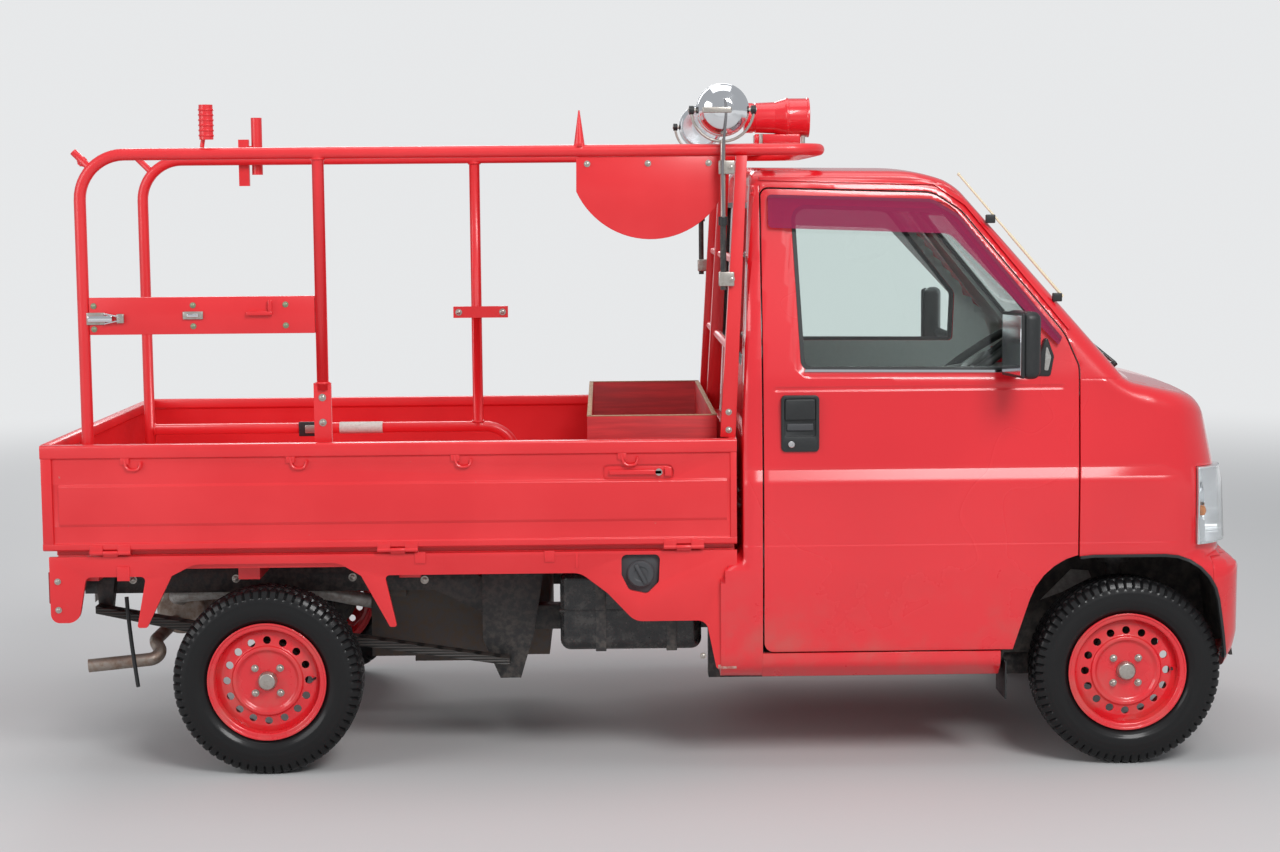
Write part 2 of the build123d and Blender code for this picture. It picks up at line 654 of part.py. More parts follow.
def bed_nodes():
    """Bed floor with its front wall, side gates, tailgate and side skirts."""
    floor_edge = gate_skin_y - gate_wall - joint_gap
    bearer_y = half_width - 76.5
    floor_rear = bed_rear_x + gate_wall + joint_gap
    floor = block(floor_rear, 240, -floor_edge, floor_edge, bed_floor_z - bed_floor_thickness, bed_floor_z)
    side_rail = block(floor_rear + 5, 240, -skirt_y + skirt_sheet, -bearer_y + 1, 590, 631)
    filler_room = block(-92, 48, -800, -655, 588, 626)
    side_rails = [side_rail - filler_room, mirrored(side_rail)]
    bearers = [
        block(rear_axle_x + dx, rear_axle_x + dx + 60, -bearer_y, bearer_y, 550 + seat_clearance, 631)
        for dx in (-527.5, -77.5, 372.5)
    ]
    front_bearer = block(cab_rear_x - 112, cab_rear_x - 52, -bearer_y, bearer_y, 590 + seat_clearance, 631)
    head = block(bed_front_x - 20, bed_front_x, -floor_edge, floor_edge, bed_floor_z - 1, gate_top_z)
    first_hinge_x, last_hinge_x = bed_rear_x + 185, bed_front_x - 148
    gate_places = (first_hinge_x, (first_hinge_x + last_hinge_x) / 2, last_hinge_x)
    tail_places = (-450, 450)

    def along_x(place, point):
        return (place, point[0], point[1])

    def along_y(place, point):
        return (point[0], place, point[1])

    right_fixed, right_turning, right_bores = hinge_row(gate_places, 112, (-hinge_y, hinge_z), along_x)
    tail_x = bed_rear_x - gate_rail_proud + hinge_radius - 2.5
    tail_fixed, tail_turning, tail_bores = hinge_row(tail_places, 112, (tail_x, hinge_z), along_y)
    right_seats = [
        block(place - 20, place + 20, -hinge_y, -floor_edge + 1, 630, 641) for place in gate_places
    ]
    tail_seats = [block(tail_x, floor_rear + 1, place - 20, place + 20, 630, 641) for place in tail_places]
    right_hinge = join(*right_seats, *right_fixed)
    hinges = (right_hinge, mirrored(right_hinge), join(*tail_seats, *tail_fixed))
    write("bed_floor", join(floor, *side_rails, *bearers, front_bearer, head, *hinges))

    inner = gate_skin_y - gate_wall
    panel = block(bed_rear_x, bed_front_x, -gate_skin_y, -inner, gate_low_z, gate_top_z)
    rail_y, rail_low_z = gate_skin_y + gate_rail_proud, gate_top_z - gate_rail_depth
    foot_y, foot_z = rail_y - 3, gate_low_z + 2
    rail = block(bed_rear_x, bed_front_x, -rail_y, -gate_skin_y + 1, rail_low_z, gate_top_z)
    foot = block(bed_rear_x + 10, bed_front_x - 10, -foot_y, -gate_skin_y + 1, foot_z, foot_z + 18)
    middle = section_prism(
        [(-rail_y + 2, 722), (-rail_y + 2, 825), (-gate_skin_y + 1, 832), (-gate_skin_y + 1, 715)],
        bed_rear_x + 45, bed_front_x - 28,
    )
    webs = [
        block(place + low, place + high, -rail_y, -gate_skin_y + 12, hinge_z + 1, gate_low_z + 6)
        for place in gate_places for low, high in ((-56, -20.5), (20.5, 56))
    ]
    gate = join(panel, rail, foot, middle, *webs, *right_turning) - join(*right_bores)
    write("gate_right", gate)
    write("gate_left", mirrored(gate))

    tail_half = inner - joint_gap
    tail_panel = block(bed_rear_x, bed_rear_x + gate_wall, -tail_half, tail_half, gate_low_z, gate_top_z)
    tail_rail_x = bed_rear_x - gate_rail_proud
    tail_rail = block(tail_rail_x, bed_rear_x + 1, -tail_half, tail_half, rail_low_z, gate_top_z)
    tail_middle = side_prism(
        [(bed_rear_x - 6, 722), (bed_rear_x - 6, 825), (bed_rear_x + 1, 832), (bed_rear_x + 1, 715)],
        -tail_half + 40, tail_half - 40,
    )
    tail_webs = [
        block(tail_x - 4, bed_rear_x + 12, place + low, place + high, hinge_z + 1, gate_low_z + 6)
        for place in tail_places for low, high in ((-56, -20.5), (20.5, 56))
    ]
    write("tailgate", join(tail_panel, tail_rail, tail_middle, *tail_webs, *tail_turning) - join(*tail_bores))

    # The skirt's rear part is measured from the rear axle, its front part from the bed's front.
    skirt_rear = [
        # x from the axle, z, corner radius
        (-589.5, 628, 0), (-589.5, 443, 25), (-512.5, 443, 35), (-489.5, 571, 18), (-323.5, 571, 12),
        (-351.5, 427, 6), (-324.5, 427, 6), (-252.5, 572, 0), (-189.5, 604, 70), (210.5, 604, 70),
        (272.5, 567, 0), (350.5, 422, 6), (369.5, 422, 6), (337.5, 568, 12),
    ]
    skirt_front = [
        # x from the bed's front, z, corner radius
        (-436, 568, 60), (-361, 510, 60), (-286, 430, 50), (-86, 430, 30), (-58, 292, 10),
        (0, 290, 6), (0, 628, 0),
    ]
    skirt_line = [(rear_axle_x + dx, z, corner) for dx, z, corner in skirt_rear]
    skirt_line += [(bed_front_x + dx, z, corner) for dx, z, corner in skirt_front]
    outline, corners = [row[:2] for row in skirt_line], [row[2] for row in skirt_line]
    skirt = side_prism(outline, -skirt_y, -skirt_y + skirt_sheet, corners)
    filler_line = [(-76, 618), (32, 618), (28, 540), (-5, 507), (-55, 518), (-76, 560)]
    filler_hole = side_prism(filler_line, -800, -600, 15)
    write("skirts", skirt - filler_hole, mirrored(skirt))
    cap = rod((-22, -skirt_y + 2, 563), (-22, -skirt_y + 40, 563), 37.5)
    neck = rod((-22, -skirt_y + 38, 563), (-22, 98.5 - half_width, 540), 24)
    collar_y = skirt_y - skirt_sheet - seat_clearance
    collar = fillet(block(-82, 38, -collar_y, 6.7 - collar_y, 500, 624).edges().filter_by(Axis.Y), 20)
    write("fuel_filler", join(cap, neck, collar))


def rack_nodes():
    """Guard frame behind the cab, ladder rack of bent tube, its plates and fittings."""
    lean = 0.0526
    post_low = gate_top_z + seat_clearance
    top = rack_z - rack_tube - seat_clearance
    posts = [
        side_prism([(204, post_low), (246, post_low), (281, top), (251, top)], y - 20, y + 20)
        for y in (-guard_y, guard_y, rack_far_y)
    ]
    bars = [
        rod((227 + lean * (z - gate_top_z), -guard_y, z), (227 + lean * (z - gate_top_z), guard_y, z), 12)
        for z in (1180, 1430, 1690)
    ]
    write("guard_frame", join(*posts, *bars))

    middle_y = (rack_y + rack_far_y) / 2
    floor = bed_floor_z + seat_clearance
    near = bent_tube(
        [(rack_rear_x, rack_y, floor), (rack_rear_x, rack_y, rack_z), (rack_front_x, rack_y, rack_z),
         (rack_front_x, middle_y, rack_z)],
        rack_tube, [rack_bend, 100],
    )
    near_post = rod((rack_post_x, rack_y, 1080), (rack_post_x, rack_y, rack_z), rack_tube)
    near_foot = block(rack_post_x - 25, rack_post_x + 23, rack_y - 8, rack_y + 8, floor, 1100)
    stub_line = ((rack_rear_x + 40, rack_z - 46), (rack_rear_x - 14, rack_z + 9))
    near_stub = rod(*((x, rack_y, z) for x, z in stub_line), 10)
    spike = rod((-181, rack_y, rack_z + 10), (-181, rack_y, rack_z + 111), 16, 2)
    cross = block(330, 370, rack_y, middle_y, rack_z - 4, rack_z + 4)
    write("rack_right", join(near, near_post, near_foot, near_stub, spike, cross))

    far = bent_tube(
        [(rack_front_x, middle_y + seat_clearance, rack_z), (rack_front_x, rack_far_y, rack_z),
         (rack_rear_x, rack_far_y, rack_z), (rack_rear_x, rack_far_y, floor)],
        rack_tube, [100, rack_bend],
    )
    low_tube = bent_tube(
        [(rack_rear_x, rack_far_y, 890), (-400, rack_far_y, 890), (-400, rack_far_y, floor)], rack_tube, 100
    )
    far_post = rod((-520, rack_far_y, 890), (-520, rack_far_y, rack_z), rack_tube)
    far_stub = rod(*((x, rack_far_y, z) for x, z in stub_line), 10)
    bracket = block(-592, -420, rack_far_y - 22, rack_far_y - 14, 1236, 1272)
    far_cross = block(330, 370, middle_y + seat_clearance, rack_far_y, rack_z - 4, rack_z + 4)
    write("rack_left", join(far, low_tube, far_post, far_stub, bracket, far_cross))

    tube_room = rack_tube + seat_clearance
    board = block(rack_rear_x + tube_room, rack_post_x - tube_room, rack_y - 9, rack_y + 9, 1240, 1343)
    under_rail = rack_z - tube_room
    plate_line = (
        Line((-191, 1624), (-190, under_rail))
        + Line((-190, under_rail), (208, under_rail))
        + Line((208, under_rail), (207, 1597))
        + ThreePointArc((207, 1597), (20, 1491), (-191, 1624))
    )
    plate_plane = Plane(origin=(0, rack_y + 3, 0), x_dir=(1, 0, 0), z_dir=(0, -1, 0))
    half_moon = extrude(plate_plane * make_face(plate_line), amount=6)
    write("rack_plates", board, half_moon)

    drum_x = rack_rear_x + 354
    first = rod((drum_x - 1, rack_y, 1775), (drum_x - 1, rack_y, 1870), 19)
    stalk = rod((drum_x - 14, rack_y, rack_z + rack_tube + 1), (drum_x - 8, rack_y, 1790), 6)
    second_y = rack_far_y + rack_tube + 22
    plate = block(drum_x - 54, drum_x - 22, rack_far_y + tube_room, second_y - 4, 1655, 1800)
    drum = rod((drum_x + 1, second_y, 1690), (drum_x + 1, second_y, 1868), 17)
    link = block(drum_x - 26, drum_x + 1, second_y - 8, second_y + 4, 1760, 1780)
    write("rack_fittings", first + stalk, join(plate, drum, link))

    box_wall = 12
    low, high = bed_floor_z + seat_clearance, 995
    outside = block(-168, 198, -600, 600, low, high)
    inside_y = 600 - box_wall
    inside = block(-168 + box_wall, 198 - box_wall, -inside_y, inside_y, low + box_wall, high + 10)
    write("equipment_box", outside - inside)


def lamp_and_siren_nodes():
    """Two searchlights on poles, the siren and its plate."""
    shell_line = [(-18, 0), (-18, 66), (-8, 73), (6, 73), (22, 68), (40, 52), (52, 28), (56, 0)]
    pole_x, lamp_z, rim_y = 214, 1844, half_width - 65.5
    pole_y = rim_y + 8
    lamp = turned(shell_line, pole_x, rim_y, lamp_z, 1)
    pivots = rod((pole_x - 92, rim_y, lamp_z), (pole_x + 92, rim_y, lamp_z), 7)
    yoke = Solid.make_torus(86, 4, Plane(origin=(pole_x, rim_y, lamp_z), z_dir=(0, 1, 0)))
    yoke = (Part() + yoke) - block(pole_x - 200, pole_x + 200, 500, 800, lamp_z + 3, lamp_z + 200)
    pole = rod((pole_x, pole_y, 1350), (pole_x, pole_y, lamp_z - 84), 8)
    clamps = [
        block(pole_x - 12, pole_x + 60, pole_y - 12, pole_y + 12, z, z + 40) for z in (1360, 1668)
    ]
    post_room = side_prism(
        [(204, gate_top_z), (246.3, gate_top_z), (281.3, rack_z - rack_tube), (250.7, rack_z - rack_tube)],
        guard_y - 20 - seat_clearance, guard_y + 20 + seat_clearance,
    )
    searchlight = join(lamp, pivots, yoke, pole, *clamps) - post_room
    searchlight = max(searchlight.solids(), key=lambda solid: solid.volume)
    write("searchlights", searchlight, mirrored(searchlight))

    siren_y = (rack_y + rack_far_y) / 2
    siren_z = 1838
    body = rod((300, siren_y, siren_z), (392, siren_y, siren_z), 44)
    bell = rod((390, siren_y, siren_z), (420, siren_y, siren_z), 46, 56)
    mouth = rod((419, siren_y, siren_z), (492, siren_y, siren_z), 58)
    foot = block(320, 480, siren_y - 30, siren_y + 30, rack_z + rack_tube + 8, 1790)
    plate_z = rack_z + rack_tube + seat_clearance
    plate = block(318, 505, siren_y - 45, siren_y + 45, plate_z, rack_z + rack_tube + 9)
    leg = block(334, 366, siren_y - 40, siren_y + 40, rack_z + 4 + seat_clearance, rack_z + rack_tube + 5)
    write("siren", join(body, bell, mouth, foot, plate, leg))


def small_nodes():
    """Tail lamps, wipers and antenna."""
    lamp_x = bed_rear_x + 13 - seat_clearance
    lamp = block(bed_rear_x - 2, lamp_x, 57.5 - half_width, -520, 486, 584)
    lamp = fillet(lamp.edges().filter_by(Axis.X), 12)
    write("tail_lamps", lamp, mirrored(lamp))

    slope = Vector(1393 - 898, 0, cowl_z - 1642).normalized()
    normal = Vector(-slope.Z, 0, slope.X)

    def on_screen(along, y, lift):
        """Point over the windscreen's curved face, measured down from its top edge."""
        out = screen_bulge - y * y / (2 * screen_radius) + lift
        return Vector(898, y, 1642) + slope * along + normal * out

    scuttle = cab_outer - windscreen_cut
    wipers = []
    for y in (-480, 60):
        arm = rod(on_screen(690, y, 9), on_screen(614, y + 250, 0), 5)
        spindle = rod(on_screen(690, y, -16), on_screen(690, y, 12), 9)
        blade = rod(on_screen(640, y + 60, 0), on_screen(592, y + 440, 0), 5)
        wipers.append(join(arm, spindle, blade) - scuttle - cab_solid(6 - seat_clearance))
    write("wipers", *(max(wiper.solids(), key=lambda solid: solid.volume) for wiper in wipers))

    # The antenna stands just off the right pillar's front edge, on two short clamps.
    mast_low, mast_high = Vector(1162, 77.5 - half_width, 1321.5), Vector(875, 117.5 - half_width, 1663.4)
    mast = rod(mast_low, mast_high, 3)
    for part in (0.02, 0.66):
        grip = mast_low + (mast_high - mast_low) * part
        mast = mast + rod(grip, grip + Vector(-30, 0, -26), 6)
    mast = mast - cab_solid(-seat_clearance)
    write("antenna", max(mast.solids(), key=lambda solid: solid.volume))


cab_nodes()
liner_nodes()
glass_nodes()
door_nodes()
interior_nodes()
chassis_nodes()
front_suspension_nodes()
wheel_nodes()
bed_nodes()
rack_nodes()
lamp_and_siren_nodes()
small_nodes()
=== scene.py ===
# %% [markdown]
# This file dresses a small open-bed truck of a volunteer fire brigade. The solids of the truck come
# in as a fixed frame, and every cell below gives them the finish and the small forms that the real
# truck has: rolled edges, tyre tread, lamps, latches, cords and the rack's fittings. The cells run
# from top to bottom and share one frame in metres, X forward, Y to the left and Z up.

# %% Load the truck's solids
import math

import bmesh
import bpy
import numpy as np
from mathutils import Matrix, Vector


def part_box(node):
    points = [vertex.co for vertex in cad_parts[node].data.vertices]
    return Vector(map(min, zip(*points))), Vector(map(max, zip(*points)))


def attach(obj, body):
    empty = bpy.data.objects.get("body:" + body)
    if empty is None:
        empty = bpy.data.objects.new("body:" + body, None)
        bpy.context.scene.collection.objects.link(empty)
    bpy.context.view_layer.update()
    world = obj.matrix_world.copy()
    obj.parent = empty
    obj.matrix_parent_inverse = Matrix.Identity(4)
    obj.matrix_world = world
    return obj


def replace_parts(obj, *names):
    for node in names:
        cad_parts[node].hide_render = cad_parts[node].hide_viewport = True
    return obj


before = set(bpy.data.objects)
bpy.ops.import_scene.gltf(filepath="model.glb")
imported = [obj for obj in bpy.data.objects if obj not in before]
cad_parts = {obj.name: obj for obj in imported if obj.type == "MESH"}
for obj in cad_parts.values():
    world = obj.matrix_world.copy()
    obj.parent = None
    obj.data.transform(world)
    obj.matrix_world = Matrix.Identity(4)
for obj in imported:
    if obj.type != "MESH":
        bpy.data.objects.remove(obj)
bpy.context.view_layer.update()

# %% [markdown]
# The photograph was taken from the truck's right side, a little behind the door, from eye height.
# A camera can be placed by eye, but the view then never lies on the picture. This one comes from
# the known wheelbase and the lips of both wheels, so the lens and the three turns are measured.

# %% Place the camera
camera_place = Vector((-0.1175, -6.729, 1.59))
camera_yaw = math.radians(0.92)
camera_pitch = math.radians(5.82)
camera_roll = math.radians(-0.49)
camera_lens_mm = 61.4


def camera_matrix(place, yaw, pitch, roll):
    """Where the camera stands and looks, as a matrix whose columns are right, up and back."""
    level = Vector((math.sin(yaw), math.cos(yaw), 0))
    right = Vector((math.cos(yaw), -math.sin(yaw), 0))
    up = Vector((0, 0, 1))
    ahead = level * math.cos(pitch) - up * math.sin(pitch)
    over = up * math.cos(pitch) + level * math.sin(pitch)
    side = right * math.cos(roll) + over * math.sin(roll)
    top = over * math.cos(roll) - right * math.sin(roll)
    turn = Matrix((side, top, -ahead)).transposed().to_4x4()
    return Matrix.Translation(place) @ turn


camera_data = bpy.data.cameras.new("photo_camera")
camera_data.lens = camera_lens_mm
camera_data.sensor_width = 36
camera_data.clip_end = 200
camera = bpy.data.objects.new("photo_camera", camera_data)
camera.matrix_world = camera_matrix(camera_place, camera_yaw, camera_pitch, camera_roll)
bpy.context.scene.collection.objects.link(camera)
bpy.context.scene.camera = camera
print("camera", tuple(round(value, 3) for value in camera_place))

# %% [markdown]
# Paint looks like paint only when it has something plain to reflect. A large pale floor, a pale
# world and three soft area lamps stand in for a studio. The sun in the photograph comes from the
# right and above, so the key lamp is on that side and the shade falls under the bed.

# %% Light the studio
bpy.context.scene.view_settings.view_transform = "Standard"


def area_lamp(name, place, aim, size, power):
    """A square soft lamp that looks at a point."""
    data = bpy.data.lights.new(name, "AREA")
    data.shape = "SQUARE"
    data.size = size
    data.energy = power
    lamp = bpy.data.objects.new(name, data)
    lamp.location = place
    lamp.rotation_euler = (Vector(aim) - Vector(place)).to_track_quat("-Z", "Y").to_euler()
    bpy.context.scene.collection.objects.link(lamp)
    return lamp


area_lamp("key_lamp", (2.5, -6.0, 5.5), (0, 0, 0.8), 2.6, 330)
area_lamp("fill_lamp", (-6.0, -4.0, 3.2), (0, 0, 0.8), 3.5, 120)
area_lamp("far_lamp", (-1.5, 6.5, 4.5), (0, 0, 0.9), 3.5, 170)
area_lamp("top_lamp", (0.0, 0.0, 6.5), (0, 0, 0), 4.5, 85)

# %% [markdown]
# A material is a small graph of nodes. Written link by link it is hard to read, so a wrapper lets
# shader sums be written as plain Python: mask * 0.3 + 0.1 adds its own Math nodes.


# %% Write shader sums as Python
class Value:
    """One output socket of a material's graph, with arithmetic."""

    def __init__(self, tree, socket):
        self.tree = tree
        self.socket = socket

    def combine(self, operation, first, second=None):
        """A Math node on two values."""
        node = self.tree.nodes.new("ShaderNodeMath")
        node.operation = operation
        for place, part in enumerate((first, second)):
            if isinstance(part, Value):
                self.tree.links.new(part.socket, node.inputs[place])
            elif part is not None:
                node.inputs[place].default_value = part
        return Value(self.tree, node.outputs[0])

    def __add__(self, other):
        return self.combine("ADD", self, other)

    def __radd__(self, other):
        return self.combine("ADD", other, self)

    def __sub__(self, other):
        return self.combine("SUBTRACT", self, other)

    def __rsub__(self, other):
        return self.combine("SUBTRACT", other, self)

    def __mul__(self, other):
        return self.combine("MULTIPLY", self, other)

    def __rmul__(self, other):
        return self.combine("MULTIPLY", other, self)

    def held(self, low, high):
        """The value, held between two limits."""
        return self.combine("MINIMUM", self.combine("MAXIMUM", self, low), high)

    def size(self):
        """The value without its sign."""
        return self.combine("ABSOLUTE", self)

    def between(self, low, high):
        """0 below low, 1 above high, and a smooth rise from one to the other."""
        node = self.tree.nodes.new("ShaderNodeMapRange")
        node.interpolation_type = "SMOOTHSTEP"
        self.tree.links.new(self.socket, node.inputs["Value"])
        node.inputs["From Min"].default_value = low
        node.inputs["From Max"].default_value = high
        return Value(self.tree, node.outputs["Result"])


class Finish:
    """A material on a Principled shader, with short calls for its nodes."""

    def __init__(self, name, color=(0.8, 0.8, 0.8), **fixed):
        self.material = bpy.data.materials.new(name)
        self.material.use_nodes = True
        self.tree = self.material.node_tree
        self.shader = self.tree.nodes["Principled BSDF"]
        self.shader.inputs["Base Color"].default_value = (*color, 1)
        self.material.diffuse_color = (*color, 1)
        for socket, value in fixed.items():
            self.shader.inputs[socket.replace("_", " ").title().replace("Ior", "IOR")].default_value = value

    def node(self, kind, settings=None, output=0, **inputs):
        """Any node: its type, its settings, and the values or links of its sockets."""
        made = self.tree.nodes.new("ShaderNode" + kind)
        for key, value in (settings or {}).items():
            setattr(made, key, value)
        for socket, value in inputs.items():
            numbered = socket[0] == "i" and socket[1:].isdigit()
            target = made.inputs[int(socket[1:]) if numbered else socket]
            if isinstance(value, Value):
                self.tree.links.new(value.socket, target)
            else:
                target.default_value = value
        return Value(self.tree, made.outputs[output])

    def place(self, stretch=(1, 1, 1)):
        """A point of the piece in metres, stretched along each axis."""
        point = self.node("TexCoord", output="Object")
        return self.node("Mapping", Vector=point, Scale=stretch)

    def axis(self, name):
        """One coordinate of the point, in metres."""
        point = self.node("TexCoord", output="Object")
        return self.node("SeparateXYZ", output=name, Vector=point)

    def noise(self, scale, detail=3.0, stretch=(1, 1, 1), rough=0.55):
        """Soft random mottling, about 0 to 1, with the given number of spots a metre."""
        place = self.place(stretch)
        return self.node("TexNoise", output="Fac", Vector=place, Scale=scale, Detail=detail, Roughness=rough)

    def waves(self, direction, scale):
        """Even ridges along one axis."""
        settings = {"bands_direction": direction}
        return self.node("TexWave", settings, output="Fac", Vector=self.place(), Scale=scale)

    def mix(self, share, low, high):
        """A colour between two, by a share from 0 to 1."""
        low, high = ((*color, 1) if isinstance(color, tuple) else color for color in (low, high))
        return self.node("Mix", {"data_type": "RGBA"}, output=2, i0=share, i6=low, i7=high)

    def feed(self, socket, value):
        """Link a value to a socket of the shader."""
        self.tree.links.new(value.socket, self.shader.inputs[socket])

    def bump(self, height, strength, distance):
        """Fine relief from a height."""
        relief = self.node("Bump", output="Normal", Height=height, Strength=strength, Distance=distance)
        self.feed("Normal", relief)


print("shader helpers ready")

# %% [markdown]
# The cab still has its factory gloss, with the faint orange peel of sprayed paint and a little dust
# low down. One red everywhere would look like plastic, so the colour drifts slightly with a large
# soft noise, and the roughness drifts with it.

# %% Mix the cab's gloss paint
cab_red = (0.78, 0.016, 0.026)
deep_red = (0.7, 0.012, 0.021)
dust_brown = (0.3, 0.2, 0.15)


def gloss_red(name, pressed):
    """Sprayed red enamel under a clear coat."""
    paint = Finish(name, cab_red, coat_weight=0.7, coat_roughness=0.04, specular_ior_level=0.5)
    drift = paint.noise(1.6, 2.0)
    height = paint.axis("Z")
    dust = (1 - height.between(0.25, 0.62)) * paint.noise(9, 5.0).between(0.42, 0.8)
    color = paint.mix(drift.between(0.3, 0.7), deep_red, cab_red)
    paint.feed("Base Color", paint.mix(dust * 0.35, color, dust_brown))
    paint.feed("Roughness", 0.2 + drift * 0.12 + dust * 0.3)
    relief = paint.noise(260, 1.0) * 0.00002
    if pressed:
        relief = relief + pressed_lines(paint)
    paint.bump(relief, 1.0, 1.0)
    return paint.material


def pressed_lines(paint):
    """The height of the lines pressed into the cab's sides, in metres: shoulder, low step and belt."""
    forward, height = paint.axis("X"), paint.axis("Z")
    wide = paint.axis("Y").size().between(0.6, 0.62)
    bend = ((height - 0.806) * 50).held(0, 1)
    band = (height - 0.826).held(0, 0.026) * (1 - forward.between(1.22, 1.46) * 0.8)
    shoulder = bend * bend * 0.0042 + band * 0.42
    step = height.between(0.636, 0.643)
    belt_ends = forward.between(0.345, 0.362) - forward.between(1.145, 1.162)
    belt = (height.between(1.066, 1.074) - height.between(1.076, 1.084)) * belt_ends
    ahead = 1 - forward.between(1.42, 1.5)
    return wide * ahead * (shoulder * -1.0 + step * -0.0014 + belt * -0.0022)


cab_paint = gloss_red("cab_paint", True)
wheel_paint = gloss_red("wheel_paint", False)

# %% [markdown]
# The bed, gates and rack were painted again by brush. That leaves a softer gloss, faint streaks
# along the strokes, and chips where the gates knock their catches. The streaks are a noise that
# is stretched along X, and the chips are the rare high spots of a fine noise.

# %% Mix the bed's brushed paint
bed_red = (0.74, 0.016, 0.022)
faded_red = (0.82, 0.03, 0.036)


def brushed_red(name, chips=0.0):
    """Red enamel laid on by brush."""
    paint = Finish(name, bed_red, coat_weight=0.35, coat_roughness=0.16)
    streaks = paint.noise(16, 4.0, stretch=(0.12, 1, 2.2))
    clouds = paint.noise(3.1, 3.0)
    color = paint.mix(clouds.between(0.32, 0.72) * 0.75, bed_red, faded_red)
    worn = paint.noise(38, 8.0, rough=0.7).between(0.7, 0.725) * chips
    paint.feed("Base Color", paint.mix(worn, color, (0.34, 0.25, 0.2)))
    paint.feed("Roughness", 0.3 + streaks * 0.16 + worn * 0.25)
    paint.bump(streaks + paint.noise(170, 2.0) * 0.3, 0.12, 0.0006)
    return paint.material


bed_paint = brushed_red("bed_paint", 0.6)
rack_paint = brushed_red("rack_paint", 0.15)

# %% [markdown]
# Everything under the bed is black steel with grey road dust, cast parts are browner and rougher,
# and the exhaust is blued and rusty. One function makes them all from two colours and a share.


# %% Mix the metals and plastics under the truck
def dusty(name, color, dust, share, rough, metal=0.0, grain=60):
    """A plain finish with dust or rust on part of it."""
    finish = Finish(name, color, metallic=metal)
    spots = finish.noise(grain, 6.0, rough=0.65).between(0.5 - share * 0.25, 0.78 - share * 0.2)
    finish.feed("Base Color", finish.mix(spots * share, color, dust))
    finish.feed("Roughness", rough + spots * 0.22)
    finish.bump(finish.noise(grain * 4, 3.0), 0.18, 0.0005)
    return finish.material


black_steel = dusty("black_steel", (0.022, 0.022, 0.023), (0.16, 0.14, 0.12), 0.45, 0.42)
cast_iron = dusty("cast_iron", (0.11, 0.1, 0.095), (0.2, 0.13, 0.08), 0.5, 0.62, 0.3)
exhaust_steel = dusty("exhaust_steel", (0.36, 0.31, 0.27), (0.22, 0.11, 0.06), 0.55, 0.45, 0.75, 40)
bright_steel = dusty("bright_steel", (0.62, 0.62, 0.63), (0.35, 0.33, 0.31), 0.2, 0.24, 1.0, 90)
black_plastic = dusty("black_plastic", (0.016, 0.018, 0.019), (0.1, 0.095, 0.09), 0.12, 0.42, 0.0, 140)
grey_plastic = dusty("grey_plastic", (0.055, 0.057, 0.062), (0.11, 0.11, 0.11), 0.1, 0.5, 0.0, 160)
liner_black = dusty("liner_black", (0.02, 0.02, 0.02), (0.17, 0.15, 0.13), 0.5, 0.7, 0.0, 30)

# %% [markdown]
# Window glass and lamp lenses let light through, so they get Transmission. The smoked visor only
# darkens what is behind it, and a low Alpha does that with less noise. Wave ridges make the reflector's ribs.

# %% Mix glass, lenses and smoked plastic
clear = {"transmission_weight": 1.0, "ior": 1.45}
window_glass = Finish("window_glass", (0.86, 0.93, 0.91), roughness=0.0, **clear).material
clear_lens = Finish("clear_lens", (0.95, 0.97, 0.98), roughness=0.02, **clear).material
smoked = {"alpha": 0.55, "roughness": 0.06, "coat_weight": 1.0}
smoked_plastic = Finish("smoked_plastic", (0.34, 0.004, 0.075), **smoked).material
pale_rod = Finish("pale_rod", (0.8, 0.68, 0.48), roughness=0.35, coat_weight=0.4).material
red_glow = {"transmission_weight": 0.4, "roughness": 0.12, "coat_weight": 0.6}
red_lens = Finish("red_lens", (0.55, 0.01, 0.012), **red_glow).material
reflector = Finish("reflector", (0.88, 0.89, 0.9), metallic=0.8, roughness=0.28)
low_part = 1 - reflector.axis("Z").between(0.7, 0.712)
reflector.bump(reflector.waves("Y", 38.0) * low_part, 0.8, 0.003)
reflector = reflector.material
amber_lens = Finish("amber_lens", (0.75, 0.22, 0.02), roughness=0.15, coat_weight=0.6).material
satin_silver = dusty("satin_silver", (0.5, 0.47, 0.43), (0.3, 0.24, 0.19), 0.4, 0.3, 0.9, 120)
chrome = Finish("chrome", (0.78, 0.79, 0.81), metallic=1.0, roughness=0.09).material
print("finishes", len(bpy.data.materials))

# %% [markdown]
# Rubber, cloth and plywood are matt, so the eye reads them by their relief. Noise roughens the rubber,
# two crossed waves weave the cloth, and a noise drawn out along the board makes the grain.

# %% Mix tyre rubber, cloth and plywood
rubber = Finish(
    "tyre_rubber", (0.006, 0.006, 0.0065), coat_weight=0.3, coat_roughness=0.16, specular_ior_level=0.2
)
rubber.feed("Roughness", 0.34 + rubber.noise(50, 4.0) * 0.25)
rubber.bump(rubber.noise(300, 3.0), 0.12, 0.0004)
tyre_rubber = rubber.material

cloth = Finish("seat_cloth", (0.045, 0.046, 0.052), sheen_weight=0.35)
cloth.feed("Base Color", cloth.mix(cloth.noise(120, 4.0), (0.035, 0.036, 0.042), (0.085, 0.085, 0.092)))
cloth.feed("Roughness", 0.8 + cloth.noise(30) * 0.15)
cloth.bump(cloth.waves("X", 190.0) + cloth.waves("Z", 190.0), 0.35, 0.0008)
seat_cloth = cloth.material


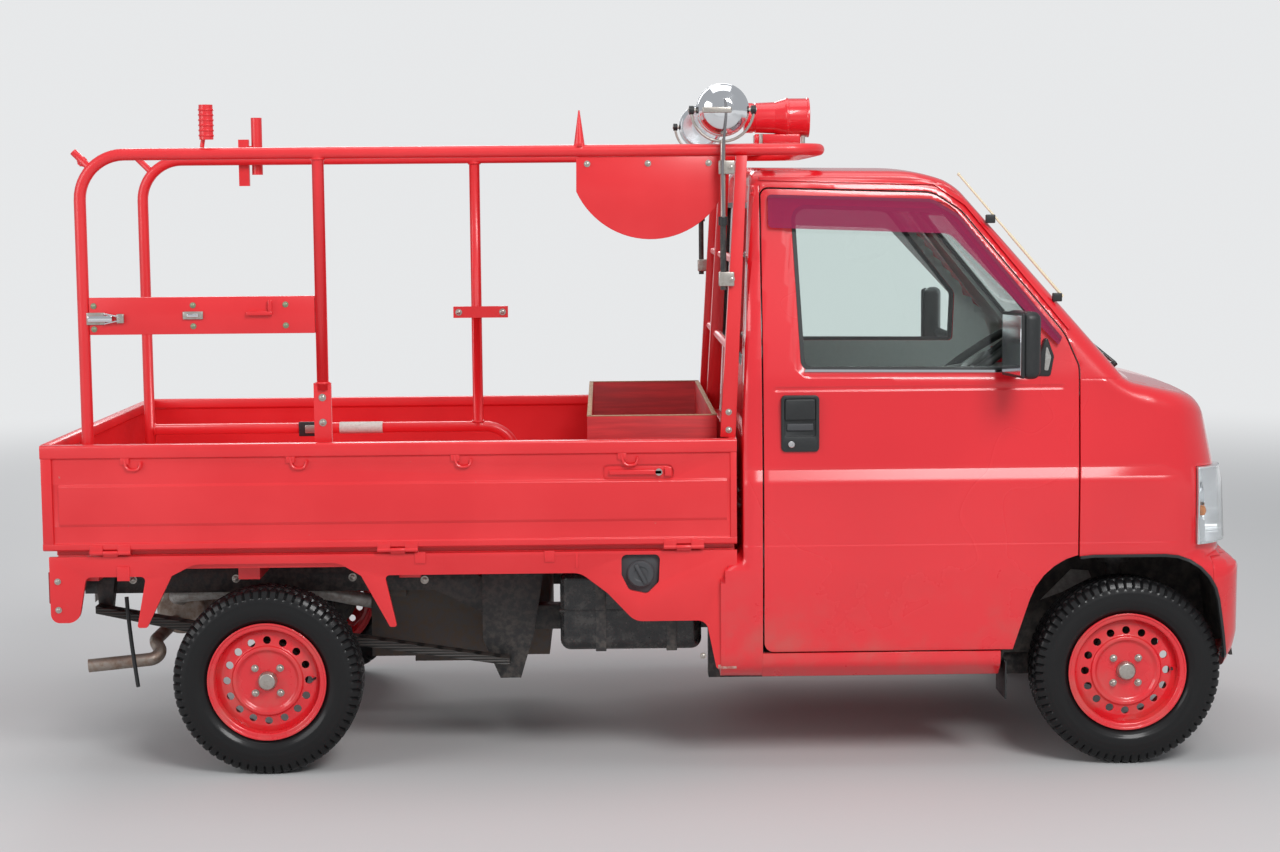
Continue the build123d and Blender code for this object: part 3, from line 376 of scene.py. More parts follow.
def painted_plywood(name):
    """Red paint over plywood whose grain still shows."""
    board = Finish(name, bed_red, coat_weight=0.1, coat_roughness=0.3)
    grain = board.noise(24, 6.0, stretch=(0.18, 0.18, 2.6))
    board.feed("Base Color", board.mix(grain.between(0.35, 0.75), (0.42, 0.01, 0.014), (0.62, 0.022, 0.026)))
    board.feed("Roughness", 0.42 + grain * 0.25)
    board.bump(grain, 0.3, 0.0012)
    return board.material


box_paint = painted_plywood("box_paint")
cab_trim = dusty("cab_trim", (0.55, 0.6, 0.58), (0.45, 0.49, 0.47), 0.3, 0.6, 0.0, 90)
raw_plywood = dusty("raw_plywood", (0.42, 0.26, 0.15), (0.3, 0.17, 0.1), 0.6, 0.7, 0.0, 70)
chipped_paint = dusty("chipped_paint", (0.52, 0.4, 0.34), (0.4, 0.05, 0.04), 0.8, 0.6, 0.0, 90)
pale_strap = dusty("pale_strap", (0.62, 0.6, 0.56), (0.4, 0.36, 0.32), 0.4, 0.7, 0.0, 120)
old_brass = dusty("old_brass", (0.3, 0.34, 0.22), (0.16, 0.24, 0.18), 0.5, 0.4, 0.6, 160)
cable_grey = dusty("cable_grey", (0.16, 0.16, 0.17), (0.24, 0.23, 0.22), 0.3, 0.5, 0.0, 160)
seat_piping = dusty("seat_piping", (0.03, 0.03, 0.034), (0.06, 0.06, 0.06), 0.3, 0.6, 0.0, 200)
black_gloss = dusty("black_gloss", (0.012, 0.012, 0.013), (0.12, 0.11, 0.1), 0.35, 0.16, 0.0, 30)
wrapped_silver = dusty("wrapped_silver", (0.46, 0.45, 0.43), (0.26, 0.19, 0.14), 0.5, 0.45, 0.6, 70)
pale_primer = dusty("pale_primer", (0.42, 0.42, 0.4), (0.22, 0.2, 0.18), 0.6, 0.7, 0.0, 60)
plate_white = dusty("plate_white", (0.7, 0.7, 0.68), (0.55, 0.53, 0.5), 0.3, 0.45, 0.0, 60)
# The leaf springs: one wave gives the ridges between the leaves and also darkens the gaps, which is painted
# shade between the leaves.
leaves = Finish("spring_steel", (0.03, 0.03, 0.031), roughness=0.5)
leaf_relief_and_gap_shade = leaves.waves("Z", 36.0)
leaves.feed("Base Color", leaves.mix(leaf_relief_and_gap_shade.between(0.1, 0.5), (0.008, 0.008, 0.008), (0.05, 0.045, 0.04)))
leaves.bump(leaf_relief_and_gap_shade, 0.6, 0.004)
spring_steel = leaves.material

# %% [markdown]
# Each node of the solids now gets its finish. A short table is easier to check than forty lines of
# the same call, and a node that the table forgets stops the script.

# %% Give every solid its finish
finish_of = {
    "antenna": bright_steel, "arch_liners": liner_black, "bed_floor": bed_paint, "bumper": cab_paint,
    "cab_back": cab_paint, "cab_floor": cab_paint, "cab_roof": cab_paint, "chassis_frame": black_steel,
    "dashboard": grey_plastic, "door_fittings": black_plastic, "door_glass": window_glass, "door": cab_paint,
    "engine_block": cast_iron, "equipment_box": box_paint, "exhaust": exhaust_steel, "fenders": cab_paint,
    "front_panel": cab_paint, "front_suspension": black_steel, "fuel_filler": black_plastic,
    "fuel_tank": black_steel, "gate": bed_paint, "guard_frame": rack_paint, "headlamps": clear_lens,
    "knuckle": cast_iron, "leaf_springs": black_steel, "rack": rack_paint, "rear_axle": black_steel,
    "rear_window": window_glass, "rim": cab_paint, "searchlights": chrome, "seats": seat_cloth,
    "siren": cab_paint, "skirts": bed_paint, "steering_wheel": black_plastic, "tail_lamps": red_lens,
    "tailgate": bed_paint, "tyre": tyre_rubber, "visor": smoked_plastic, "windscreen": window_glass,
    "wipers": black_plastic,
}


def finish_for(node):
    """The finish of a node, by the longest name in the table that it starts with."""
    fits = [key for key in finish_of if node == key or node.startswith(key + "_")]
    return finish_of[max(fits, key=len)]


for node_name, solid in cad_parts.items():
    for solid_slot in solid.material_slots:
        solid_slot.material = finish_for(node_name)
print("dressed", len(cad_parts), "nodes")

# %% [markdown]
# Most pieces share three small tasks: make a mesh object, cut it with a closed form, and round its
# sharp edges. A real pressed panel never has a knife edge, and the thin highlight along a rounded
# edge is what makes a shut line readable, so nearly every piece ends with a bevel.


# %% Make, cut and round meshes
def coated(mesh, finish):
    """A mesh with one finish all over it."""
    mesh.materials.clear()
    mesh.materials.append(finish)
    mesh.polygons.foreach_set("material_index", [0] * len(mesh.polygons))
    return mesh


def coat_where(mesh, finish, test):
    """A second finish on the faces whose centre and normal pass a test."""
    mesh.materials.append(finish)
    place = len(mesh.materials) - 1
    for face in mesh.polygons:
        if test(face.center, face.normal):
            face.material_index = place


def faces_inward(centre, normal):
    """True for a face of the cab that looks to its inside."""
    return normal.dot(Vector((0.8, 0.0, 0.98)) - centre) > 0.15


def add_piece(name, mesh, finish, body="root"):
    """A new object in the scene that rides on a body. Without a finish it keeps those of its mesh."""
    piece = bpy.data.objects.new(name, mesh)
    bpy.context.scene.collection.objects.link(piece)
    if finish is not None:
        coated(mesh, finish)
    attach(piece, body)
    return piece


def mesh_from(name, points, faces):
    """A mesh from points and faces."""
    mesh = bpy.data.meshes.new(name)
    mesh.from_pydata([tuple(point) for point in points], [], faces)
    mesh.update()
    return mesh


def smooth(mesh, degrees=38):
    """Smooth shading, with a crease where faces meet at more than an angle."""
    mesh.polygons.foreach_set("use_smooth", [True] * len(mesh.polygons))
    mesh.set_sharp_from_angle(angle=math.radians(degrees))
    return mesh


def put_for(node, mesh, body="root"):
    """A piece with the finishes of its mesh, in the place of one node."""
    piece = add_piece(node + "_dressed", mesh, None, body)
    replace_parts(piece, node)


def faced_outward(mesh, merged=False):
    """A closed mesh whose faces all look outward. Doubled points can be merged first."""
    form = bmesh.new()
    form.from_mesh(mesh)
    if merged:
        bmesh.ops.remove_doubles(form, verts=form.verts, dist=1e-6)
        bmesh.ops.dissolve_degenerate(form, edges=form.edges, dist=1e-6)
    bmesh.ops.recalc_face_normals(form, faces=form.faces)
    form.to_mesh(mesh)
    form.free()
    return mesh


def loose_object(mesh):
    """An object that isn't in the scene yet, for its modifiers."""
    holder = bpy.data.objects.new("holder", mesh)
    bpy.context.scene.collection.objects.link(holder)
    return holder


def applied(holder, name):
    """The mesh of an object with its modifiers applied. The object goes."""
    graph = bpy.context.evaluated_depsgraph_get()
    graph.update()
    mesh = bpy.data.meshes.new_from_object(holder.evaluated_get(graph))
    mesh.name = name
    bpy.data.objects.remove(holder)
    return mesh


def cut_mesh(name, mesh, steps):
    """A mesh after cuts: each step is an operation name and the closed mesh that it uses."""
    holder = loose_object(mesh.copy())
    tools = []
    for operation, tool_mesh in steps:
        tool = loose_object(tool_mesh)
        tools.append(tool)
        cut = holder.modifiers.new("cut", "BOOLEAN")
        cut.operation = operation
        cut.solver = "MANIFOLD"
        cut.object = tool
    result = applied(holder, name)
    for tool in tools:
        bpy.data.objects.remove(tool)
    return result


def rounded_edges(mesh, name, width, segments=2, degrees=40):
    """A mesh whose sharp edges are rounded."""
    holder = loose_object(mesh)
    bevel = holder.modifiers.new("round", "BEVEL")
    bevel.width = width
    bevel.segments = segments
    bevel.limit_method = "ANGLE"
    bevel.angle_limit = math.radians(degrees)
    bevel.use_clamp_overlap = True
    return smooth(applied(holder, name))


def mirrored_mesh(mesh, name):
    """The same mesh on the other side of the centre plane."""
    other = mesh.copy()
    other.name = name
    other.transform(Matrix.Scale(-1, 4, (0, 1, 0)))
    other.flip_normals()
    return other


def both_sides(name, mesh, finish, body="root", node=None):
    """A right piece and its mirror. Each rides on its own side's body and can replace its side's node."""
    pieces = []
    for side in ("right", "left"):
        side_mesh = mesh if side == "right" else mirrored_mesh(mesh, name + "_left")
        rides_on = body if body == "root" else f"{body}_{side}"
        piece = add_piece(f"{name}_{side}", side_mesh, finish, rides_on)
        if node:
            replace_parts(piece, f"{node}_{side}")
        pieces.append(piece)
    return pieces


def joined_mesh(name, *meshes):
    """One mesh from several, which keep their own forms and finishes."""
    form = bmesh.new()
    finishes = []
    for mesh in meshes:
        shift = []
        for finish in mesh.materials:
            if finish not in finishes:
                finishes.append(finish)
            shift.append(finishes.index(finish))
        start = len(form.faces)
        form.from_mesh(mesh)
        form.faces.ensure_lookup_table()
        for face in form.faces[start:]:
            face.material_index = shift[face.material_index] if shift else 0
    whole = bpy.data.meshes.new(name)
    form.to_mesh(whole)
    form.free()
    for finish in finishes:
        whole.materials.append(finish)
    return whole


# %% [markdown]
# Outlines come from the same corner points and radii that the solids have. A corner becomes a short
# arc of points, and an outline becomes a closed prism along one axis, which is used to cut.


# %% Draw rounded outlines and prisms
def arc_corners(rows, closed=True, steps=6):
    """Points of an outline whose rows are (first, second, corner radius)."""
    points = []
    for place, (first, second, radius) in enumerate(rows):
        if radius == 0 or (not closed and place in (0, len(rows) - 1)):
            points.append((first, second))
            continue
        corner = Vector((first, second))
        back = (Vector(rows[place - 1][:2]) - corner).normalized()
        ahead = (Vector(rows[(place + 1) % len(rows)][:2]) - corner).normalized()
        half = back.angle(ahead) / 2
        centre = corner + (back + ahead).normalized() * (radius / math.sin(half))
        start = corner + back * (radius / math.tan(half)) - centre
        end = corner + ahead * (radius / math.tan(half)) - centre
        turn = math.atan2(start.x * end.y - start.y * end.x, start.dot(end))
        for step in range(steps + 1):
            part = turn * step / steps
            x = start.x * math.cos(part) - start.y * math.sin(part)
            y = start.x * math.sin(part) + start.y * math.cos(part)
            points.append((centre.x + x, centre.y + y))
    return points


def prism(name, outline, axis, low, high):
    """Closed mesh of an outline between two places on an axis. Its two numbers are the other axes."""
    order = {"x": (1, 2, 0), "y": (0, 2, 1), "z": (0, 1, 2)}[axis]
    points = []
    for depth in (low, high):
        for first, second in outline:
            point = [0.0, 0.0, 0.0]
            point[order[0]], point[order[1]], point[order[2]] = first, second, depth
            points.append(point)
    count = len(outline)
    faces = [tuple(range(count))[::-1], tuple(range(count, 2 * count))]
    faces += [(i, (i + 1) % count, (i + 1) % count + count, i + count) for i in range(count)]
    return faced_outward(mesh_from(name, points, faces))


def grown(rows, amount):
    """The same convex outline with every side moved outward."""
    middle = sum((Vector(row[:2]) for row in rows), Vector((0, 0))) / len(rows)
    sides = []
    for start, end in zip(rows, rows[1:] + rows[:1]):
        normal = Vector((end[1] - start[1], start[0] - end[0])).normalized()
        if normal.dot(Vector(start[:2]) - middle) < 0:
            normal = -normal
        sides.append((normal, normal.dot(Vector(start[:2])) + amount))
    points = []
    for place, row in enumerate(rows):
        (before, first), (after, second) = sides[place - 1], sides[place]
        spread = before.x * after.y - before.y * after.x
        x = (first * after.y - second * before.y) / spread
        z = (before.x * second - after.x * first) / spread
        points.append((x, z, max(row[2] + amount, 0.001) if row[2] else 0))
    return points


def turned_mesh(name, profile, place, axis="y", outward=1, steps=64):
    """Closed mesh turned about a line along an axis. The profile holds (outward place, radius)."""
    points, faces, count = [], [], len(profile)
    for step in range(steps):
        turn = 2 * math.pi * step / steps
        for along, radius in profile:
            first, second = radius * math.cos(turn), radius * math.sin(turn)
            spot = {"x": (along * outward, first, second), "y": (first, along * outward, second),
                    "z": (first, second, along * outward)}[axis]
            points.append(Vector(place) + Vector(spot))
        here, there = step * count, (step + 1) % steps * count
        faces += [
            (here + i, here + (i + 1) % count, there + (i + 1) % count, there + i) for i in range(count)
        ]
    return faced_outward(mesh_from(name, points, faces), merged=True)


def tube_mesh(name, route, radius, bent=False, sides=12):
    """Round bar or cord along a route, straight between its points or bent smoothly past them."""
    line = bpy.data.curves.new(name, "CURVE")
    line.dimensions = "3D"
    line.bevel_depth = radius
    line.bevel_resolution = sides // 4
    line.use_fill_caps = True
    spline = line.splines.new("NURBS" if bent else "POLY")
    spline.points.add(len(route) - 1)
    for point, spot in zip(spline.points, route):
        point.co = (*spot, 1)
    if bent:
        spline.order_u = 4
        spline.use_endpoint_u = True
        spline.resolution_u = 8
    holder = bpy.data.objects.new(name, line)
    bpy.context.scene.collection.objects.link(holder)
    return smooth(applied(holder, name))


def slab(name, low, high):
    """Closed box mesh between two corners."""
    outline = [(low[0], low[1]), (high[0], low[1]), (high[0], high[1]), (low[0], high[1])]
    return prism(name, outline, "z", low[2], high[2])


def block(name, low, high, finish, width=0.002, segments=2):
    """A box between two corners with rounded edges and a finish."""
    return coated(rounded_edges(slab(name, low, high), name, width, segments), finish)


def round_bar(name, start, end, radius, finish):
    """A straight round bar with a finish."""
    return coated(tube_mesh(name, (start, end), radius, sides=20), finish)


print("mesh helpers ready")

# %% [markdown]
# The cab of such a truck is a rounded box: flat sides that lean in, a crowned roof, a windscreen
# with a slight curve and a short nose. Joined panel by panel in a modeller, the seams never line up.
# Here one formula says how far a point lies outside the skin. Its zero surface is the whole cab, and
# all panels are cut from that one surface, so highlights run across the shut lines as on the real
# cab. Faces come from straight runs of each profile, and edges are rounded where two faces meet.

# %% State the cab's faces
sill_z = 0.262
cowl_z = 1.086
bumper_top_z = 0.592
side_profile = [
    (0.69, sill_z, 0), (0.728, 0.3, 0.03), (0.7375, 0.56, 0.2), (0.7375, 0.85, 0.3), (0.72, 1.1, 0.3),
    (0.6125, 1.68, 0),
]
roof_profile = [(0.898, 1.642, 0), (0.77, 1.69, 0.4), (0.294, 1.696, 0)]
nose_profile = [(1.662, bumper_top_z, 0), (1.652, 0.8, 0.2), (1.608, 1.008, 0)]
hood_profile = [(1.75, 0.985, 0), (1.548, 1.05, 0), (1.393, cowl_z, 0), (1.15, 1.142, 0)]
bumper_profile = [
    (1.675, sill_z, 0), (1.6975, 0.37, 0.06), (1.6975, 0.572, 0.02), (1.668, bumper_top_z, 0),
]
rear_profile = [(0.294, 1.696, 0), (0.262, 0.933, 0), (0.262, sill_z, 0)]


def face_rows(profile):
    """Flat faces of a profile, each as the two parts of its normal and its reach."""
    points = arc_corners(profile, closed=False)
    rows = []
    for (a, b), (c, d) in zip(points, points[1:]):
        size = math.hypot(c - a, d - b)
        rows.append(((d - b) / size, (a - c) / size, ((d - b) * a + (a - c) * b) / size))
    return np.array(rows)


def outside(rows, first, second):
    """How far points lie outside a run of faces."""
    return (np.outer(first, rows[:, 0]) + np.outer(second, rows[:, 1]) - rows[:, 2]).max(axis=1)


def round_max(first, second, radius):
    """Inside both, with the edge between them rounded."""
    corner = np.hypot(np.maximum(first + radius, 0), np.maximum(second + radius, 0))
    return np.minimum(np.maximum(first, second), -radius) + corner


side_faces, roof_faces = face_rows(side_profile), face_rows(roof_profile)
nose_faces, hood_faces = face_rows(nose_profile), face_rows(hood_profile)
bumper_faces, rear_faces = face_rows(bumper_profile), face_rows(rear_profile)
screen_normal = Vector((1.642 - cowl_z, 1.393 - 0.898)).normalized()


def cab_distance(points):
    """How far each point lies outside the cab's skin, about in metres."""
    x, y, z = points[:, 0], points[:, 1], points[:, 2]
    wide = np.abs(y)
    side = outside(side_faces, wide, z)
    roof = outside(roof_faces, x, z + 0.048 * y * y)
    screen = (x - 0.898) * screen_normal.x + (z - 1.642) * screen_normal.y - 0.01 + y * y / 9.0
    hood = outside(hood_faces, x, z + 0.03 * y * y)
    nose = outside(nose_faces, x + y * y / 9.8, z)
    bumper = outside(bumper_faces, x + y * y / 13.9, z)
    top = round_max(roof, -round_max(-screen, -hood, 0.012), 0.018)
    upper = round_max(round_max(side, nose, 0.15), top, 0.045)
    upper = round_max(upper, outside(rear_faces, x, z), 0.02)
    lower = round_max(round_max(side, bumper, 0.09), z - bumper_top_z, 0.014)
    return round_max(-round_max(-upper, -lower, 0.002), sill_z - z, 0.012)


# %% [markdown]
# The formula has no mesh yet. Rays from a point inside meet the skin once each, so a grid on a cube
# is pushed out along its rays until the formula is zero, by halving the step. Twenty halvings of two
# and a half metres leave a few thousandths of a millimetre.


# %% Mesh the cab's skin
def cube_grid(count):
    """Directions and quads of a cube's grid, evenly spaced by angle."""
    spread = np.tan(np.linspace(-math.pi / 4, math.pi / 4, count + 1))
    directions, quads, seen = [], [], {}
    for axis in range(3):
        for sign in (-1, 1):
            index = np.zeros((count + 1, count + 1), dtype=int)
            for i in range(count + 1):
                for j in range(count + 1):
                    point = [0.0, 0.0, 0.0]
                    point[axis] = float(sign)
                    point[(axis + 1) % 3] = spread[i] * sign
                    point[(axis + 2) % 3] = spread[j]
                    key = tuple(round(value, 6) for value in point)
                    if key not in seen:
                        seen[key] = len(directions)
                        directions.append(point)
                    index[i, j] = seen[key]
            for i in range(count):
                for j in range(count):
                    quads.append((index[i, j], index[i + 1, j], index[i + 1, j + 1], index[i, j + 1]))
    rays = np.array(directions)
    return rays / np.linalg.norm(rays, axis=1)[:, None], quads


made_skins = {}


def skin_mesh(name, centre, count, depth):
    """Closed mesh of the cab's skin, at a depth under it. A skin that was made before is copied."""
    if (centre, count, depth) in made_skins:
        return made_skins[centre, count, depth].copy()
    rays, quads = cube_grid(count)
    start = np.array(centre)
    low, high = np.zeros(len(rays)), np.full(len(rays), 2.5)
    for halving in range(20):
        middle = (low + high) / 2
        outer = cab_distance(start + rays * middle[:, None]) > -depth
        high = np.where(outer, middle, high)
        low = np.where(outer, low, middle)
    made_skins[centre, count, depth] = mesh_from(name, start + rays * high[:, None], np.array(quads).tolist())
    return made_skins[centre, count, depth].copy()


cab_heart = (0.8, 0.0, 0.98)
nose_heart = (1.36, 0.0, 0.74)
cab_skin = skin_mesh("cab_skin", cab_heart, 84, 0.0)
cab_inside = skin_mesh("cab_inside", cab_heart, 36, 0.028)
nose_skin = skin_mesh("nose_skin", nose_heart, 84, 0.0)
nose_inside = skin_mesh("nose_inside", nose_heart, 36, 0.022)
cab_form, nose_form = (cab_heart, 60), (nose_heart, 72)


def layer(name, form, outer, inner, within, less=()):
    """A skin between two depths under it, within some closed forms and less others."""
    steps = [("DIFFERENCE", skin_mesh("cut", *form, inner)), *(("INTERSECT", tool) for tool in within)]
    steps += [("DIFFERENCE", tool) for tool in less]
    return cut_mesh(name, skin_mesh("cut", *form, outer), steps)


print("cab skin", len(cab_skin.vertices), "nose skin", len(nose_skin.vertices))

# %% [markdown]
# Now the panels. The openings for the doors, glass, wheels and lamps are prisms, and the cab's skin
# less its inside is cut by them, just as a body shop would cut one big shell.

# %% Cut the roof, back, nose, fenders and bumper
door_outline = [
    (0.322, 0.34, 0.025), (0.322, 1.628, 0.02), (0.802, 1.612, 0.08), (0.88, 1.56, 0.06),
    (1.16, 1.218, 0.15), (1.196, 1.13, 0.06), (1.196, 0.34, 0),
]
door_hole = grown(door_outline, 0.005)
window_outline = [
    (0.427, 1.125, 0.03), (0.404, 1.584, 0.04), (0.835, 1.568, 0.06), (1.066, 1.282, 0.04),
    (1.064, 1.118, 0.015),
]
arch_outline = [
    (1.003, 0.2, 0), (1.003, 0.28, 0.1), (1.108, 0.606, 0.18), (1.575, 0.606, 0.16), (1.632, 0.28, 0.1),
    (1.632, 0.2, 0),
]
screen_outline = [(-0.61, 1.15, 0.04), (-0.528, 1.562, 0.05), (0.528, 1.562, 0.05), (0.61, 1.15, 0.04)]
rear_window_outline = [(-0.58, 1.13, 0.05), (-0.55, 1.59, 0.05), (0.55, 1.59, 0.05), (0.58, 1.13, 0.05)]
lamp_outline = [(-0.78, 0.63, 0.03), (-0.78, 0.85, 0.03), (-0.545, 0.842, 0.03), (-0.52, 0.63, 0.03)]
reach_y = 0.9


def across(outline, low=-reach_y, high=reach_y):
    """A cutting form of an outline in X and Z, between two places across the truck."""
    return prism("cut", arc_corners(outline), "y", low, high)


def lengthwise(outline, low, high):
    """A cutting form of an outline in Y and Z, between two places along the truck."""
    return prism("cut", arc_corners(outline), "x", low, high)


def both_sides_cut(name, outline, low, high):
    """A cut of an outline on the right side and its mirror on the left."""
    right = prism(name, arc_corners(outline), "x", low, high)
    return right, mirrored_mesh(right, name + "_left")


roof_region = [
    (0.2, 1.637, 0), (0.319, 1.637, 0), (0.319, 1.095, 0), (1.8, 1.095, 0), (1.8, 1.9, 0), (0.2, 1.9, 0)
]
roof_mesh = cut_mesh("roof_panel", cab_skin, [
    ("DIFFERENCE", cab_inside.copy()),
    ("INTERSECT", across(roof_region)),
    ("DIFFERENCE", across(door_hole)),
    ("DIFFERENCE", lengthwise(screen_outline, 0.9, 1.7)),
])
back_mesh = cut_mesh("back_panel", cab_skin, [
    ("DIFFERENCE", cab_inside.copy()),
    ("INTERSECT", slab("cut", (0.2, -reach_y, 0.2), (0.317, reach_y, 1.637))),
    ("DIFFERENCE", lengthwise(rear_window_outline, 0.2, 0.345)),
])
lamp_rear_x = 1.53
lamp_cuts = both_sides_cut("lamp_cut", lamp_outline, lamp_rear_x, 1.8)
arch_cut = across(arch_outline)
nose_shell = cut_mesh("nose_shell", nose_skin, [("DIFFERENCE", nose_inside.copy())])
fender_mesh = cut_mesh("fender_panel", nose_shell, [
    ("INTERSECT", slab("cut", (1.201, -0.8, 0.3), (1.8, -0.601, 1.095))),
    ("DIFFERENCE", slab("cut", (1.577, -0.8, 0.2), (1.8, -0.5, bumper_top_z))),
    ("DIFFERENCE", arch_cut.copy()),
    ("DIFFERENCE", lamp_cuts[0].copy()),
])
front_mesh = cut_mesh("front_panel", nose_shell, [
    ("INTERSECT", slab("cut", (1.201, -0.6, bumper_top_z), (1.8, 0.6, 1.095))),
    ("DIFFERENCE", lamp_cuts[0].copy()),
    ("DIFFERENCE", lamp_cuts[1].copy()),
])
intake_outline = [(-0.33, 0.318, 0.018), (-0.37, 0.408, 0.018), (0.37, 0.408, 0.018), (0.33, 0.318, 0.018)]
bumper_mesh = cut_mesh("bumper_panel", nose_shell, [
    ("INTERSECT", slab("cut", (1.578, -0.8, 0.2), (1.8, 0.8, bumper_top_z - 0.001))),
    ("DIFFERENCE", arch_cut.copy()),
    ("DIFFERENCE", lengthwise(intake_outline, 1.6, 1.8)),
])
for node, mesh, width in (
    ("cab_roof", roof_mesh, 0.003), ("cab_back", back_mesh, 0.003), ("front_panel", front_mesh, 0.003),
    ("bumper", bumper_mesh, 0.004),
):
    panel = rounded_edges(mesh, node + "_skin", width)
    coated(panel, cab_paint)
    if node in ("cab_roof", "cab_back"):
        coat_where(panel, cab_trim, faces_inward)
    piece = add_piece(node + "_skin", panel, None)
    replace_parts(piece, node)
    print(node, len(piece.data.polygons))
fender_right = rounded_edges(fender_mesh, "fender_right_skin", 0.003)
fender_left = mirrored_mesh(fender_right, "fender_left_skin")
for side, mesh in (("right", fender_right), ("left", fender_left)):
    piece = add_piece("fender_" + side, mesh, cab_paint)
    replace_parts(piece, "fenders")

# %% [markdown]
# The nose carries a narrow grille slot with two slats between the lamps, and the bumper's intake has
# bars behind it. Both sit a few millimetres under the skin, as pressed plastic grilles do.

# %% Set the grilles into the nose
grille_outline = [(-0.3, 0.64, 0.012), (-0.315, 0.672, 0.012), (0.315, 0.672, 0.012), (0.3, 0.64, 0.012)]
grille_form = lengthwise(grown(grille_outline, 0.004), 1.5, 1.8)
grille_frame = smooth(layer("grille_frame", nose_form, -0.0025, 0.004, [grille_form]))
add_piece("grille_frame", grille_frame, black_plastic)
for low in (0.648, 0.66):
    slat_form = slab("cut", (1.5, -0.296, low), (1.8, 0.296, low + 0.005))
    slat = rounded_edges(layer("grille_slat", nose_form, -0.0055, 0.004, [slat_form]), "grille_slat", 0.001)
    add_piece(f"grille_slat_{low:.3f}", slat, grey_plastic)
for z in (0.34, 0.366, 0.392):
    bar = block("intake_bar", (1.655, -0.38, z - 0.005), (1.672, 0.38, z + 0.005), black_plastic)
    add_piece(f"intake_bar_{z:.3f}", bar, None)
print("grilles set")

# %% [markdown]
# A door is the same skin cut by its own outline, five millimetres smaller all round, with the window
# cut through. Its inner faces get the grey of the door trim. The glass, its rubber seal, the bright
# strip under it and the smoked rain visor are layers of the same skin at other depths.

# %% Cut the doors, their glass, seals and visors
def door_inward(centre, normal):
    """True for a face of the right door that looks to the cab's inside."""
    return normal.y > 0.3 and (abs(centre.y) < 0.71 or centre.z > 1.13)


door_side = ("INTERSECT", prism("door_side", arc_corners(door_outline), "y", -reach_y, -0.4))
door_inside = skin_mesh("door_inside", cab_heart, 36, 0.055)
frame_step = cut_mesh("frame_step", across(grown(window_outline, 0.02), -reach_y, -0.4), [
    ("DIFFERENCE", skin_mesh("cut", cab_heart, 60, 0.0035)),
])
door_mesh = cut_mesh("door_skin", cab_skin, [
    door_side,
    ("DIFFERENCE", door_inside),
    ("DIFFERENCE", across(grown(arch_outline, 0.005))),
    ("DIFFERENCE", frame_step),
    ("DIFFERENCE", across(window_outline, -reach_y, 0)),
])
door_mesh = rounded_edges(door_mesh, "door_skin", 0.003)
coated(door_mesh, cab_paint)
coat_where(door_mesh, cab_trim, door_inward)
both_sides("door_skin", door_mesh, None, "door", "door")


def door_layer(name, outer, inner, outline, finish, hollow=None):
    """Part of the door's shell between two depths, inside an outline and outside another."""
    within = prism("cut", outline, "y", -reach_y, -0.4)
    less = [prism("cut", hollow, "y", -reach_y, -0.4)] if hollow else []
    return smooth(coated(layer(name, cab_form, outer, inner, [within], less), finish))


pane_corners = arc_corners(grown(window_outline, -0.0005))
pane = door_layer("door_pane", 0.018, 0.026, pane_corners, window_glass)
both_sides("door_pane", pane, None, "door", "door_glass")
seal_hollow = arc_corners(grown(window_outline, -0.011))
seal = door_layer("door_seal", 0.0015, 0.03, arc_corners(window_outline), black_plastic, seal_hollow)
both_sides("door_seal", seal, None, "door")
strip_outline = [(0.436, 1.1225), (1.045, 1.1155), (1.045, 1.1225), (0.436, 1.1295)]
strip = door_layer("door_strip", -0.0015, 0.004, strip_outline, chrome)
both_sides("door_strip", strip, None, "door")
visor_outline = [
    (0.34, 1.612, 0.01), (0.34, 1.52, 0.012), (0.845, 1.5, 0.05), (1.14, 1.19, 0.004), (1.15, 1.212, 0.004),
    (0.872, 1.552, 0.06), (0.8, 1.596, 0.06),
]
visor_corners = arc_corners(visor_outline)
visor = door_layer("visor", -0.014, -0.0105, visor_corners, smoked_plastic)
both_sides("visor_sheet", visor, None, "door", "visor")
visor_rim_hollow = [(x - 0.004, z - 0.009) for x, z in visor_corners]
visor_rim = door_layer("visor_rim", -0.0125, -0.001, visor_corners, black_plastic, visor_rim_hollow)
both_sides("visor_rim", visor_rim, None, "door")
print("door faces", len(door_mesh.polygons))

# %% [markdown]
# Glass and lamps could be modelled flat and bent to fit. As layers of the cab's skin they follow its
# curve by themselves. A headlamp has a bulging clear lens, a ribbed bowl and an amber turn lamp.

# %% Fit the windscreen, rear window and lamps
screen = layer("screen_pane", cab_form, 0.006, 0.012, [lengthwise(grown(screen_outline, -0.0005), 0.9, 1.7)])
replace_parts(add_piece("screen_pane", smooth(screen), window_glass), "windscreen")
for name, outline, reach, depths in (
    ("screen_seal", screen_outline, (0.9, 1.7), (0.001, 0.016)),
    ("back_seal", rear_window_outline, (0.2, 0.345), (0.002, 0.022)),
):
    seal_hollow = lengthwise(grown(outline, -0.016), *reach)
    rubber_ring = layer(name, cab_form, *depths, [lengthwise(outline, *reach)], [seal_hollow])
    add_piece(name, smooth(rubber_ring), black_plastic)


def lamp_form(shrink, x_low):
    """A closed form inside the headlamp's outline, from a place along the truck forward."""
    return lengthwise(grown(lamp_outline, -shrink), x_low, 1.8)


